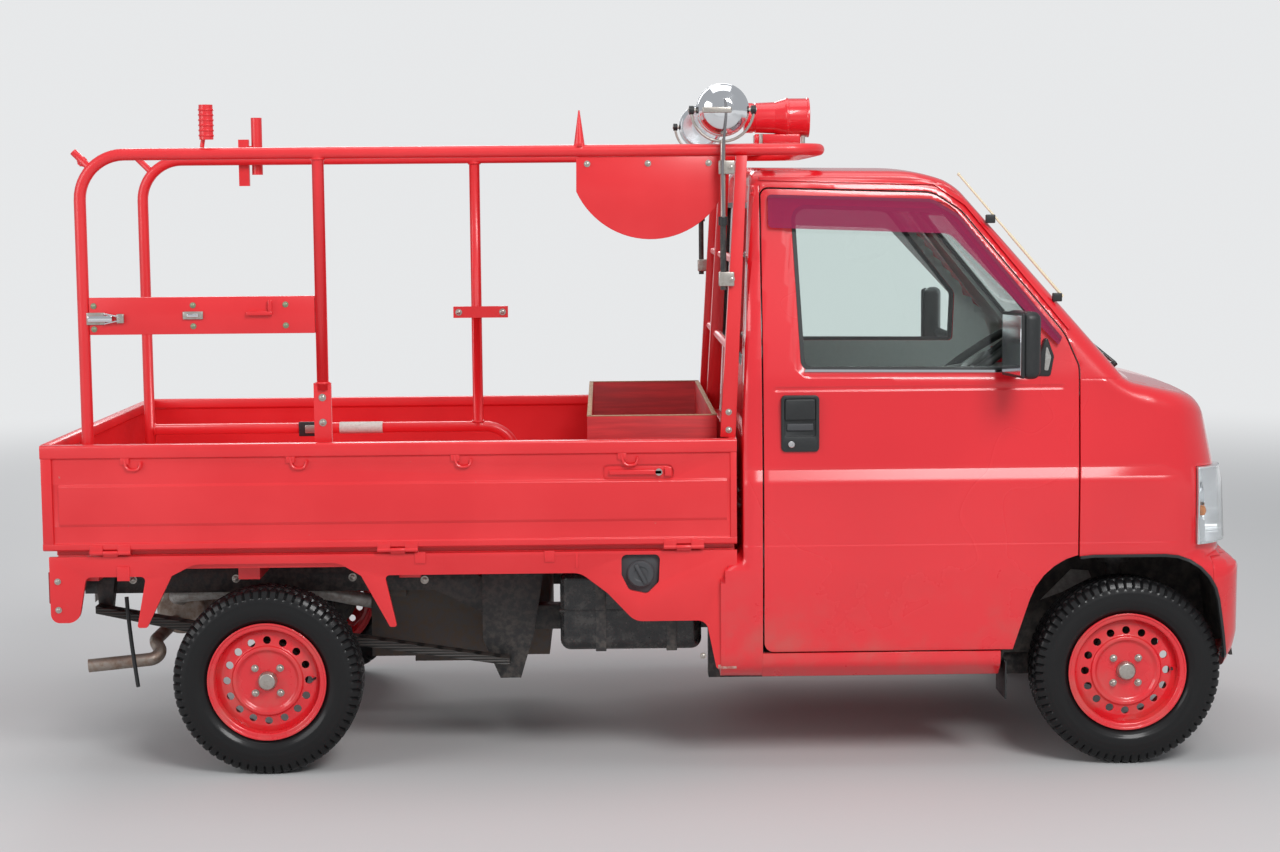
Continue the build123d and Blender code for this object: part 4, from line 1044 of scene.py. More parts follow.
lamp_glass = layer("lamp_glass", nose_form, -0.018, -0.0145, [lamp_form(0.0012, lamp_rear_x + 0.002)])
smooth(coated(lamp_glass, clear_lens))
bowl_place = (1.53, -0.612, 0.742)
bowl_room = turned_mesh("cut", [(-0.02, 0), (-0.02, 0.06), (0.12, 0.06), (0.12, 0)], bowl_place, "x", 1, 48)
lamp_bowl = layer("lamp_bowl", nose_form, 0.034, 0.05, [lamp_form(0.003, lamp_rear_x + 0.003)])
lamp_bowl = coated(cut_mesh("lamp_bowl", lamp_bowl, [("DIFFERENCE", bowl_room)]), reflector)
lamp_rim = coated(layer(
    "lamp_rim", nose_form, -0.0155, 0.04, [lamp_form(0.0012, lamp_rear_x + 0.001)],
    [lamp_form(0.006, lamp_rear_x + 0.006)]), reflector)
bowl_profile = [
    (0, 0.006), (0.004, 0.028), (0.014, 0.046), (0.032, 0.059), (0.034, 0.061), (0.012, 0.049),
    (-0.002, 0.03), (-0.004, 0.006),
]
bulb_profile = [(0, 0), (0, 0.007), (0.022, 0.007), (0.03, 0)]
turn_profile = [(-0.016, 0), (-0.012, 0.01), (0, 0.014), (0.012, 0.01), (0.016, 0)]
main_bowl = coated(turned_mesh("main_bowl", bowl_profile, bowl_place, "x"), chrome)
bulb = coated(turned_mesh("bulb", bulb_profile, bowl_place, "x", steps=20), bright_steel)
turn_bulb = coated(turned_mesh("turn_bulb", turn_profile, (1.548, -0.7, 0.722), "z", steps=20), amber_lens)
lamp = smooth(joined_mesh("headlamp", lamp_bowl, lamp_rim, main_bowl, bulb, turn_bulb))
lamp_pieces = both_sides("headlamp", lamp, None) + both_sides(
    "lamp_lens", lamp_glass, None
)
for piece in lamp_pieces:
    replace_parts(piece, "headlamps")
print("lamp faces", len(lamp.polygons), "lens", len(lamp_glass.polygons))

# %% [markdown]
# The mirror is a rounded box on a short arm, turned a little outward so that the driver sees the
# rear. Its face is a thin silvered plate inside a lip. The door handle is a black pull in a recess
# with a lock under it.

# %% Add mirrors and handles
mirror_turn = Matrix.Translation((1.016, -0.83, 1.201)) @ Matrix.Rotation(math.radians(12), 4, "Z")


def mirror_part(name, low, high, width, segments, finish):
    """A rounded box of the mirror, in the mirror's own turned place."""
    mesh = block(name, low, high, finish, width, segments)
    mesh.transform(mirror_turn)
    return mesh


mirror = joined_mesh(
    "mirror",
    mirror_part("shell", (-0.024, -0.075, -0.091), (0.03, 0.075, 0.091), 0.022, 6, black_plastic),
    mirror_part("lip", (-0.0295, -0.072, -0.088), (-0.02, 0.072, 0.088), 0.0045, 3, black_plastic),
    mirror_part("face", (-0.0305, -0.064, -0.08), (-0.028, 0.064, 0.08), 0.001, 1, chrome),
    round_bar("arm", (1.08, -0.7, 1.122), (1.016, -0.778, 1.15), 0.014, black_plastic),
)


def plate_at_door(name, outline, low, high, finish, width):
    """A flat part on the door's side, in X and Z, between two places across."""
    return coated(rounded_edges(prism(name, arc_corners(outline), "y", low, high), name, width), finish)


def framed(x_low, z_low, x_high, z_high, corner):
    """A rounded rectangle."""
    return [
        (x_low, z_low, corner), (x_high, z_low, corner), (x_high, z_high, corner), (x_low, z_high, corner)
    ]


bezel = cut_mesh("bezel", across(framed(0.369, 0.903, 0.474, 1.059, 0.012), -0.7405, -0.72), [
    ("DIFFERENCE", across(framed(0.378, 0.945, 0.465, 1.05, 0.006), -0.8, -0.7325)),
])
bezel = coated(rounded_edges(bezel, "bezel", 0.0015), black_plastic)
lock_profile = [(0, 0), (0, 0.009), (0.006, 0.009), (0.0075, 0.0075), (0.0075, 0.003), (0.006, 0)]
lock = coated(turned_mesh("lock", lock_profile, (0.397, -0.7385, 0.924), "y", -1, 24), bright_steel)
handle = joined_mesh(
    "handle", bezel,
    plate_at_door("pull", framed(0.3795, 0.992, 0.4635, 1.049, 0.005), -0.7425, -0.728, black_plastic, 0.003),
    plate_at_door("lever", framed(0.385, 0.962, 0.458, 0.981, 0.003), -0.7385, -0.728, grey_plastic, 0.002),
    lock,
)
base_outline = [(1.067, 1.106, 0.006), (1.117, 1.104, 0.008), (1.127, 1.16, 0.02), (1.104, 1.222, 0.006)]
patch_rows = [(1.099, 1.122, 0.003), (1.11, 1.12, 0.004), (1.118, 1.158, 0.01), (1.104, 1.196, 0.003)]
mirror_base = [
    plate_at_door("base", base_outline, -0.7235, -0.7, black_plastic, 0.004),
    plate_at_door("base_patch", patch_rows, -0.7245, -0.715, pale_primer, 0.001),
]
fittings = smooth(joined_mesh("fittings", mirror, handle, *mirror_base))
both_sides("door_fittings_dressed", fittings, None, "door", "door_fittings")
print("fittings faces", len(fittings.polygons))

# %% [markdown]
# The wheels are pressed steel, and the eye goes straight to them. Barrel and disc are turned
# profiles whose corners are arcs, with sixteen holes cut through the disc. The tyre's outside is a
# grid around the wheel, and its tread is pressed into that grid: four grooves that zigzag, and
# slots across the shoulders at every pitch. Depth goes along the profile's own normal, so blocks
# also show on the shoulder, as in the photograph.

# %% Turn the rims
tyre_low, tyre_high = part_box("tyre_rear_right")
tyre_radius = (tyre_high.z - tyre_low.z) / 2
tyre_half = (tyre_high.y - tyre_low.y) / 2
bead, lip, rim_half, well = 0.153, 0.167, 0.059, 0.135
barrel_profile = [
    (-rim_half, lip, 0), (0.008 - rim_half, lip, 0.002), (0.008 - rim_half, bead, 0.004),
    (-0.03, bead - 0.0006, 0.004),
    (-0.022, well + 0.005, 0.005), (0.01, well + 0.005, 0.005), (0.018, bead - 0.0006, 0.004),
    (rim_half - 0.008, bead, 0.004), (rim_half - 0.008, lip, 0.002), (rim_half, lip, 0.0015),
    (rim_half, lip - 0.005, 0.0015), (rim_half - 0.003, lip - 0.007, 0.003),
    (rim_half - 0.003, bead - 0.005, 0.005),
    (0.022, bead - 0.006, 0.006), (0.014, well, 0.006), (-0.026, well, 0.006), (-0.034, bead - 0.006, 0.006),
    (0.003 - rim_half, bead - 0.005, 0), (0.003 - rim_half, lip - 0.007, 0), (-rim_half, lip - 0.005, 0),
]
disc_profile = [
    (0.026, bead - 0.004, 0), (0.031, bead - 0.023, 0.01), (0.036, 0.101, 0.005), (0.043, 0.097, 0.004),
    (0.043, 0.089, 0.004), (0.035, 0.08, 0.012), (0.033, 0.0, 0), (0.028, 0.0, 0), (0.029, 0.082, 0.01),
    (0.037, 0.09, 0.003), (0.037, 0.095, 0.003), (0.03, 0.1, 0.004), (0.025, bead - 0.023, 0.01),
    (0.02, bead - 0.004, 0),
]
hole_ring, hole_radius, hole_count = 0.115, 0.011, 16
nut_ring, nut_count = 0.05, 4


def ring_places(radius, count, start=0.0):
    """Places around a wheel's middle, in X and Z."""
    turns = [start + 2 * math.pi * index / count for index in range(count)]
    return [(radius * math.cos(turn), radius * math.sin(turn)) for turn in turns]


holes = [
    turned_mesh(
        "hole", [(0.01, 0), (0.01, hole_radius), (0.06, hole_radius), (0.06, 0)], (x, 0, z), "y", 1, 24
    )
    for x, z in ring_places(hole_ring, hole_count)
]
disc = turned_mesh("disc", arc_corners(disc_profile, steps=4), (0, 0, 0), "y", 1, 96)
disc = cut_mesh("disc", disc, [("DIFFERENCE", joined_mesh("holes", *holes))])
disc = rounded_edges(disc, "disc", 0.0012, 2, 50)
barrel = turned_mesh("barrel", arc_corners(barrel_profile, steps=3), (0, 0, 0), "y", 1, 96)
hub_profile = [
    (-0.018, 0.02), (-0.018, 0.104), (-0.008, 0.104), (-0.008, 0.03), (0.03, 0.03), (0.03, 0.02),
]
hub = turned_mesh("hub", hub_profile, (0, 0, 0), "y", 1, 48)
cap_rows = [(0.03, 0, 0), (0.03, 0.027, 0), (0.046, 0.027, 0.004), (0.055, 0.022, 0.004), (0.058, 0, 0)]
cap = turned_mesh("cap", arc_corners(cap_rows, closed=False, steps=4), (0, 0, 0), "y", 1, 48)
nut_forms = (
    ("washer", [(0.03, 0), (0.03, 0.0105), (0.0365, 0.0105), (0.0365, 0)], 24),
    ("nut", [(0.034, 0), (0.034, 0.0085), (0.044, 0.0085), (0.0458, 0.0065), (0.047, 0)], 6),
    ("stud", [(0.044, 0), (0.044, 0.0045), (0.051, 0.0042), (0.0518, 0)], 12),
)
nuts = [
    coated(turned_mesh(name, profile, (x, 0, z), "y", 1, sides), satin_silver)
    for x, z in ring_places(nut_ring, nut_count, math.pi / 4) for name, profile, sides in nut_forms
]
valve = tube_mesh("valve", [(0.132, 0.03, 0.004), (0.128, 0.048, 0.004)], 0.0035)
rim_parts = ((disc, wheel_paint), (barrel, wheel_paint), (hub, cast_iron), (cap, satin_silver),
             (valve, black_plastic))
rim_mesh = joined_mesh("rim", *(coated(mesh, finish) for mesh, finish in rim_parts), *nuts)
smooth(rim_mesh, 42)
print("rim faces", len(rim_mesh.polygons))

# %% [markdown]
# A tread made of separate blocks would leave gaps, and a bump map leaves a smooth outline. Here the
# points of one closed grid are pushed inward where a groove runs, so the outline shows the blocks.

# %% Press the tread into the tyres
pitches, columns_each = 66, 5
outer_rows = [
    (-0.05, bead + 0.0003, 0), (-0.0505, lip + 0.001, 0.004), (-0.062, lip + 0.011, 0.012),
    (0.0025 - tyre_half, lip + 0.025, 0.02), (-tyre_half, lip + 0.041, 0.03),
    (0.0015 - tyre_half, tyre_radius - 0.039, 0.03), (0.0065 - tyre_half, tyre_radius - 0.021, 0.02),
    (-0.058, tyre_radius - 0.008, 0.006), (-0.05, tyre_radius - 0.002, 0.008),
    (-0.02, tyre_radius, 0.05),
]
half_line = arc_corners(outer_rows, closed=False, steps=5)
outer_line = half_line + [(-y, r) for y, r in reversed(half_line)]


def evenly(points, spacing):
    """Points along a line at even steps."""
    line = np.array(points)
    walked = np.concatenate([[0], np.cumsum(np.hypot(*np.diff(line, axis=0).T))])
    marks = np.linspace(0, walked[-1], int(round(walked[-1] / spacing)) + 1)
    return np.stack([np.interp(marks, walked, line[:, 0]), np.interp(marks, walked, line[:, 1])], axis=1)


def tread_depth(y, r, phase):
    """How deep the tread is cut at a place of the tyre's outside."""
    wide = np.abs(y)
    zigzag = 0.003 * np.abs(phase * 2 - 1) - 0.0015
    depth = np.zeros_like(phase)
    for groove in (0.015, 0.039):
        depth = np.maximum(
            depth, 0.007 * np.clip(1.9 - np.abs(wide + zigzag * np.sign(y) - groove) / 0.0028, 0, 1)
        )
    shoulder = np.clip((wide - 0.041) / 0.003, 0, 1) * np.clip((r - 0.2345) / 0.006, 0, 1)
    slot = (phase < 0.1).astype(float)
    depth = np.maximum(depth, 0.0048 * slot * shoulder)
    sipe = ((phase > 0.55) & (phase < 0.79) & (wide < 0.036)).astype(float)
    depth = np.maximum(depth, 0.0032 * sipe)
    ridge = 0.0008 * (
        np.exp(-((r - 0.188) / 0.0016) ** 2) + np.exp(-((r - 0.2265) / 0.0014) ** 2) * (wide > 0.06)
    )
    return depth - ridge


line = evenly(outer_line, 0.0042)
direction = np.gradient(line, axis=0)
direction /= np.linalg.norm(direction, axis=1)[:, None]
normal = np.stack([-direction[:, 1], direction[:, 0]], axis=1)
columns = pitches * columns_each
turns = 2 * np.pi * np.arange(columns) / columns
phase = (np.arange(columns) % columns_each) / columns_each
inner_rows = [(0.044, bead + 0.0003), (0.03, bead + 0.008), (-0.03, bead + 0.008), (-0.044, bead + 0.0003)]
tyre_points, row_count = [], len(line) + len(inner_rows)
for turn, share in zip(turns, phase):
    depth = tread_depth(line[:, 0], line[:, 1], np.full(len(line), share))
    spots = np.concatenate([line - normal * depth[:, None], np.array(inner_rows)])
    tyre_points += [(r * math.cos(turn), y, r * math.sin(turn)) for y, r in spots]
tyre_faces = []
for column in range(columns):
    here, there = column * row_count, (column + 1) % columns * row_count
    for i in range(row_count):
        after = (i + 1) % row_count
        tyre_faces.append((here + i, here + after, there + after, there + i))
tyre_mesh = coated(smooth(faced_outward(mesh_from("tyre", tyre_points, tyre_faces)), 35), tyre_rubber)
print("tyre faces", len(tyre_mesh.polygons), "bounds", tuple(round(v, 3) for v in (tyre_radius, tyre_half)))

# %% [markdown]
# One rim and one tyre serve all four corners. Each copy takes the middle of its own solid, and the left
# ones are turned over so that the dish looks outward.

# %% Put the wheels in their places
for axle in ("front", "rear"):
    for side in ("right", "left"):
        low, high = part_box(f"tyre_{axle}_{side}")
        centre = (low + high) / 2
        outward = -1 if side == "right" else 1
        for part, mesh in (("rim", rim_mesh), ("tyre", tyre_mesh)):
            wheel = mesh.copy()
            wheel.transform(Matrix.Translation(centre) @ Matrix.Diagonal((1, outward, 1, 1)))
            if outward < 0:
                wheel.flip_normals()
            name = f"{part}_dressed_{axle}_{side}"
            slot_name = "tyre_rubber" if part == "tyre" else "red_wheel_paint"
            piece = add_piece(name, wheel, None, f"wheel_{axle}_{side}")
            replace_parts(piece, f"{part}_{axle}_{side}")
print("wheels placed")

# %% [markdown]
# Many parts have the right shape already, but their edges are knife sharp. A copy of the solid's
# own mesh, with its flat faces merged and its edges rounded, keeps the size and takes the light.


# %% Round the plain parts
def dressed_mesh(node, width=0.0015, segments=2, degrees=35):
    """A node's own shape with merged faces and rounded edges."""
    form = bmesh.new()
    form.from_mesh(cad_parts[node].data)
    bmesh.ops.remove_doubles(form, verts=form.verts, dist=1e-5)
    bmesh.ops.dissolve_limit(form, angle_limit=math.radians(1.5), verts=form.verts, edges=form.edges)
    mesh = bpy.data.meshes.new(node + "_plain")
    form.to_mesh(mesh)
    form.free()
    return rounded_edges(mesh, node + "_plain", width, segments, degrees) if width else mesh


def dress(node, finish, width=0.0015, body="root", extra=()):
    """A piece with a node's own shape and rounded edges, and any small forms that sit on it."""
    mesh = coated(dressed_mesh(node, width), finish)
    if extra:
        mesh = smooth(joined_mesh(node + "_dressed", mesh, *extra))
    put_for(node, mesh, body)


bed_rear, bed_front = -1.675, 0.246
gate_face = 0.727
hinge_places = (-1.49, -0.696, 0.098)
print("bed from", bed_rear, "to", bed_front)

# %% [markdown]
# The side gate is one pressed sheet with a folded rail on top, a raised panel in the middle and a
# folded foot. The profile is drawn once, with its creases as small steps, and run along the bed.
# Hooks for the cover's rope hang under the rail, and a latch sits at the rear in its pressed recess.

# %% Press the side gates
gate_profile = [
    # y outward, z, corner radius
    (0.702, 0.646, 0.003), (0.727, 0.646, 0.003), (0.7285, 0.648, 0.002), (0.732, 0.65, 0.002),
    (0.732, 0.665, 0.002), (0.728, 0.668, 0.002), (0.728, 0.713, 0.003), (0.7325, 0.721, 0.003),
    (0.7325, 0.824, 0.003), (0.728, 0.831, 0.003), (0.728, 0.901, 0.003), (0.735, 0.905, 0.003),
    (0.735, 0.94, 0.006), (0.702, 0.94, 0.004), (0.702, 0.912, 0.003),
    (0.71, 0.905, 0.003), (0.71, 0.7, 0.003), (0.702, 0.692, 0.003),
]
gate_corners = arc_corners([(-y, z, corner) for y, z, corner in gate_profile], steps=3)
gate_sheet = prism("gate_sheet", gate_corners, "x", bed_rear, bed_front)
latch_recess = across(framed(-0.128, 0.826, 0.072, 0.872, 0.022), -0.76, -0.7225)
end_steps = [
    across(framed(low, 0.7135, high, 0.8315, 0.0), -0.76, -0.7275)
    for low, high in ((bed_rear - 0.01, bed_rear + 0.048), (bed_front - 0.028, bed_front + 0.01))
]
gate_sheet = cut_mesh("gate_sheet", gate_sheet, [("DIFFERENCE", tool) for tool in [latch_recess, *end_steps]])
gate_sheet = coated(rounded_edges(gate_sheet, "gate_sheet", 0.0015, 2, 40), bed_paint)


def rope_hook(x):
    """A J-shaped rope hook of bent rod under the gate's rail."""
    bends = ((-0.022, -0.7315, 0.903), (-0.022, -0.7345, 0.872), (0.002, -0.7345, 0.868),
             (0.022, -0.7345, 0.872), (0.022, -0.7345, 0.892))
    hook = tube_mesh("hook", [(x + ahead, y, z) for ahead, y, z in bends], 0.0038, True, 8)
    pad = block("pad", (x - 0.034, -0.7335, 0.886), (x - 0.01, -0.727, 0.904), bed_paint, 0.001)
    return joined_mesh("hook", coated(hook, bed_paint), pad)


hinge_ends = ((-0.056, -0.0205), (0.0205, 0.056))


def hinge_wing(x):
    """Two hinge knuckles with their tabs, on the gate's foot."""
    parts = []
    for low, high in hinge_ends:
        start, end = (x + low, -0.7315, 0.64), (x + high, -0.7315, 0.64)
        parts.append(round_bar("knuckle", start, end, 0.006, bed_paint))
        parts.append(block("tab", (x + low, -0.7345, 0.641), (x + high, -0.727, 0.661), bed_paint, 0.001))
    return joined_mesh("hinge_wing", *parts)


latch = joined_mesh(
    "latch",
    block("latch_bed", (-0.122, -0.7245, 0.832), (0.066, -0.7215, 0.866), bed_paint, 0.001),
    block("latch_lever", (-0.108, -0.7345, 0.843), (0.04, -0.7245, 0.857), bed_paint, 0.003, 3),
    round_bar("latch_pivot", (0.03, -0.7345, 0.85), (0.03, -0.722, 0.85), 0.01, satin_silver),
    block("latch_catch", (0.046, -0.7335, 0.838), (0.066, -0.722, 0.864), bed_paint, 0.003, 3),
)
corner_plates = joined_mesh("corner_plates", *(
    block("corner_plate", (low, -0.7325, 0.665), (high, -0.7275, 0.905), bed_paint, 0.0015)
    for low, high in ((bed_rear + 0.001, bed_rear + 0.03), (bed_front - 0.018, bed_front - 0.001))
))
gate_mesh = joined_mesh(
    "gate", gate_sheet, latch, corner_plates, *(rope_hook(x) for x in (-1.421, -0.965, -0.511, -0.05)),
    *(hinge_wing(x) for x in hinge_places),
)
smooth(gate_mesh, 40)
both_sides("gate_dressed", gate_mesh, None, "gate", "gate")
print("gate faces", len(gate_mesh.polygons))

# %% [markdown]
# The tailgate is the same pressed profile, turned across the truck. It has two hinges at its foot and
# a dark lever at each end.

# %% Press the tailgate
tail_corners = arc_corners([(bed_rear + gate_face - y, z, corner) for y, z, corner in gate_profile], steps=3)
tail_sheet = rounded_edges(prism("tail_sheet", tail_corners, "y", -0.695, 0.695), "tail_sheet", 0.0015, 2, 40)
tail_parts = [coated(tail_sheet, bed_paint)]


def tail_block(name, low, high, finish, *rounding):
    """A rounded block on the tailgate, with X counted from the bed's rear end."""
    shift = Vector((bed_rear, 0, 0))
    return block(name, tuple(Vector(low) + shift), tuple(Vector(high) + shift), finish, *rounding)


for y in (-0.45, 0.45):
    for low, high in hinge_ends:
        hinge_x = bed_rear - 0.0045
        start, end = (hinge_x, y + low, 0.64), (hinge_x, y + high, 0.64)
        tail_parts.append(round_bar("knuckle", start, end, 0.006, bed_paint))
        tail_parts.append(tail_block("tab", (-0.0075, y + low, 0.641), (0, y + high, 0.7), bed_paint, 0.001))
for y in (-0.64, 0.64):
    tail_parts += [
        tail_block("latch_bed", (-0.0015, y - 0.03, 0.832), (0.001, y + 0.03, 0.884), bed_paint, 0.001),
        tail_block("lever", (-0.0075, y - 0.009, 0.8), (-0.001, y + 0.009, 0.888), black_steel, 0.003, 3),
        round_bar("pivot", (bed_rear - 0.0078, y, 0.876), (bed_rear, y, 0.876), 0.01, satin_silver),
    ]
tail_mesh = smooth(joined_mesh("tailgate", *tail_parts), 40)
put_for("tailgate", tail_mesh, "tailgate")
print("tailgate faces", len(tail_mesh.polygons))

# %% [markdown]
# The skirt under the bed is a thick pressed sheet with cut-outs. On it are the tie bolt, the small
# tabs under the sill and the paler strip where stones have chipped the paint. The filler's cap sits
# in the skirt's opening, with a raised grip across it.

# %% Dress the skirts and the filler
skirt_face = -0.722


def bolt_at(x, y, z, radius, finish=satin_silver, sides=6, height=0.006):
    """A bolt head with its washer, on a face that looks to the truck's right."""
    low_disc = [(0, 0), (0, radius * 1.5), (0.0015, radius * 1.5), (0.002, 0)]
    head = [
        (0.001, 0), (0.001, radius), (height, radius), (height + 0.0012, radius * 0.7), (height + 0.0015, 0)
    ]
    washer = turned_mesh("bolt", low_disc, (x, y, z), "y", -1, 20)
    return coated(joined_mesh("bolt", washer, turned_mesh("bolt", head, (x, y, z), "y", -1, sides)), finish)


def skirt_block(name, x_low, z_low, x_high, z_high, lift, finish, width=0.001):
    """A thin part on the skirt's face, with its lift off that face."""
    low = (x_low, skirt_face - lift, z_low)
    return block(name, low, (x_high, skirt_face + 0.001, z_high), finish, width)


skirt_extras = [
    *(bolt_at(x, skirt_face, z, radius) for x, z, radius in (
        (0.222, 0.54, 0.009), (-1.64, 0.56, 0.006), (-1.64, 0.48, 0.006), (0.15, 0.33, 0.006))),
    *(block("tab", (low, skirt_face - 0.004, z), (high, skirt_face + 0.002, z + deep), bed_paint, 0.001)
      for low, high, z, deep in (
        (-1.475, -1.44, 0.56, 0.04), (-0.65, -0.62, 0.6, 0.032), (-0.29, -0.262, 0.6, 0.032))),
    skirt_block("sill_strip", 0.192, 0.292, 0.244, 0.304, 0.0018, chipped_paint, 0.0006),
    skirt_block("seam", -0.204, 0.58, -0.196, 0.626, 0.0022, bed_paint, 0.0008),
]
skirt_mesh = coated(dressed_mesh("skirts", 0.0025), bed_paint)
far_extras = [mirrored_mesh(mesh, mesh.name + "_left") for mesh in skirt_extras]
skirts = smooth(joined_mesh("skirts_dressed", skirt_mesh, *skirt_extras, *far_extras))
put_for("skirts", skirts)

cap_rows = [
    (0.0, 0, 0), (0.0, 0.018, 0), (0.002, 0.022, 0.002), (0.002, 0.034, 0.002), (-0.003, 0.0375, 0.003),
    (-0.034, 0.0375, 0), (-0.034, 0, 0),
]
filler_cap = turned_mesh(
    "cap", arc_corners(cap_rows, closed=False, steps=3), (-0.022, -0.721, 0.563), "y", -1, 48
)
grip = block("grip", (-0.0275, -0.7285, 0.532), (-0.0165, -0.7225, 0.594), grey_plastic, 0.003, 3)
cap_middle = Matrix.Translation((-0.022, 0, 0.563))
grip.transform(cap_middle @ Matrix.Rotation(math.radians(-28), 4, "Y") @ cap_middle.inverted())
filler = joined_mesh(
    "filler_dressed", dressed_mesh("fuel_filler", 0.002), coated(filler_cap, grey_plastic), grip
)
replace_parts(add_piece("filler_dressed", filler, None), "fuel_filler")
print("skirt faces", len(skirts.polygons))

# %% [markdown]
# The bed's floor has long pressed ribs and dome bolts. The box is plywood, so its sawn top edges show
# bare wood in thin strips.

# %% Round the bed, box and boards
bolt_dome = [(0, 0), (0, 0.008), (0.0025, 0.006), (0.003, 0)]
floor_bolts = [
    coated(turned_mesh("floor_bolt", bolt_dome, (x, y, 0.65), "z", 1, 14), satin_silver)
    for x in (-1.4, -0.95, -0.5, -0.24) for y in (-0.6, -0.25, 0.25, 0.6)
]
floor_ribs = [
    block("floor_rib", (bed_rear + 0.045, y - 0.02, 0.649), (-0.18, y + 0.02, 0.6545), bed_paint, 0.002, 2)
    for y in (-0.52, -0.4, -0.28, -0.16, -0.04, 0.08, 0.29, 0.41, 0.53)
]
dress("bed_floor", bed_paint, 0.0015, extra=[*floor_bolts, *floor_ribs])
raw_edge = [
    block("raw_edge", (*low, 0.9935), (*high, 0.9962), raw_plywood, 0.0006) for low, high in (
        ((-0.1685, -0.6005), (0.1985, -0.5875)), ((-0.1685, 0.5875), (0.1985, 0.6005)),
        ((-0.1685, -0.598), (-0.1555, 0.598)), ((0.1855, -0.598), (0.1985, 0.598)))
]
dress("equipment_box", box_paint, 0.0012, extra=raw_edge)
print("bed dressed")

# %% [markdown]
# The ladder rack is painted round tube, welded where the posts meet the rails. The solids' own tubes
# stay, with smooth shading, and get a bead of weld at each joint. The board carries a toggle latch
# with greenish old brass bolts, the low tube a buckle and a strap, and the posts their bolt heads.

# %% Dress the rack
rack_near, rack_far = -0.65, 0.18
rail_z, tube = 1.736, 0.0165


def weld(x, y, z, axis, radius=tube):
    """A rough bead of weld around a tube's end."""
    bulge = ((-0.004, -0.002), (-0.003, 0.0025), (0.0, 0.0042), (0.003, 0.0025), (0.004, -0.002))
    mesh = turned_mesh("weld", [(place, radius + rise) for place, rise in bulge], (x, y, z), axis, 1, 28)
    for place, vertex in enumerate(mesh.vertices):
        vertex.co += (vertex.co - Vector((x, y, z))).normalized() * 0.0009 * math.sin(place * 1.7)
    return coated(mesh, rack_paint)


def foot_plate(x, y):
    """A flat foot under a post, on the bed's floor."""
    low, high = (x - 0.036, y - 0.022, 0.6506), (x + 0.036, y + 0.022, 0.656)
    return block("foot_plate", low, high, rack_paint, 0.001)


near_extra = [
    weld(-0.903, rack_near, rail_z - tube, "z"), weld(-0.903, rack_near, 1.1, "z"),
    weld(-1.55, rack_near, rail_z - 0.018, "y", 0.01),
    round_bar("sleeve", (-1.56, rack_near, 0.6505), (-1.56, rack_near, 0.69), 0.0185, rack_paint),
    *(bolt_at(-0.904, rack_near - 0.008, z, 0.007) for z in (1.06, 0.99)),
    foot_plate(-0.904, rack_near), foot_plate(-1.56, rack_near),
]
far_extra = [
    weld(-0.52, rack_far, rail_z - tube, "z"), weld(-0.52, rack_far, 0.89 + tube, "z"),
    weld(-1.56 + tube, rack_far, 0.89, "x"),
    *(bolt_at(x, rack_far - 0.022, 1.254, 0.007) for x in (-0.575, -0.437)),
    foot_plate(-0.4, rack_far), foot_plate(-1.56, rack_far),
]
buckle_parts = [
    block(name, (x_low, rack_far - outer, z_low), (x_high, rack_far - inner, z_high), finish, 0.002, 3)
    for name, x_low, x_high, outer, inner, z_low, z_high, finish in (
        ("buckle", -1.086, -0.99, 0.024, 0.016, 0.866, 0.912, black_plastic),
        ("buckle_tongue", -1.066, -1.012, 0.029, 0.022, 0.876, 0.902, satin_silver),
    )
]


def sleeve_ring(name, x, half, thick, finish):
    """A thin band around the far frame's low tube."""
    profile = [(-half, tube), (-half, tube + thick), (half, tube + thick), (half, tube)]
    return coated(turned_mesh(name, profile, (x, rack_far, 0.89), "x", 1, 28), finish)


bands = [
    sleeve_ring("strap", -0.891, 0.068, 0.0022, pale_strap),
    sleeve_ring("buckle_ring", -1.038, 0.04, 0.002, black_plastic),
]
for node, extras in (("rack_right", near_extra), ("rack_left", far_extra + buckle_parts + bands)):
    mesh = coated(dressed_mesh(node, 0), rack_paint)
    put_for(node, smooth(joined_mesh(node + "_dressed", mesh, *extras), 42))
print("rack tubes dressed")

# %% [markdown]
# The board between the posts carries a toggle latch, a smaller latch and a hook. All of it is counted
# from the board's face, so that nothing floats.

# %% Dress the boards, drums and guard
board_face = rack_near - 0.009


def board_block(name, low, high, finish, *rounding):
    """A rounded block on the board, with Y counted from the board's outer face."""
    low_y, high_y = board_face + low[1], board_face + high[1]
    return block(name, (low[0], low_y, low[2]), (high[0], high_y, high[2]), finish, *rounding)


def bail(low_z, high_z):
    """One wire of the toggle latch's bail."""
    start, end = (-1.5, board_face - 0.01, low_z), (-1.458, board_face - 0.008, high_z)
    return round_bar("toggle_bail", start, end, 0.0024, chrome)


toggle = [
    board_block("toggle_base", (-1.556, -0.004, 1.268), (-1.5, 0.001, 1.302), satin_silver, 0.0012),
    board_block("toggle_lever", (-1.546, -0.012, 1.276), (-1.478, -0.003, 1.294), chrome, 0.003, 3),
    bail(1.271, 1.28), bail(1.299, 1.29),
    board_block("toggle_hook", (-1.466, -0.01, 1.272), (-1.446, 0.001, 1.298), satin_silver, 0.002),
    board_block("small_latch", (-1.284, -0.006, 1.281), (-1.228, 0.001, 1.303), satin_silver, 0.0016),
    board_block("small_lever", (-1.272, -0.011, 1.287), (-1.24, -0.005, 1.297), chrome, 0.002),
    board_block("red_hook", (-1.108, -0.012, 1.29), (-1.036, 0.001, 1.302), rack_paint, 0.003),
    board_block("red_hook_tip", (-1.048, -0.012, 1.3), (-1.036, -0.002, 1.334), rack_paint, 0.003),
]
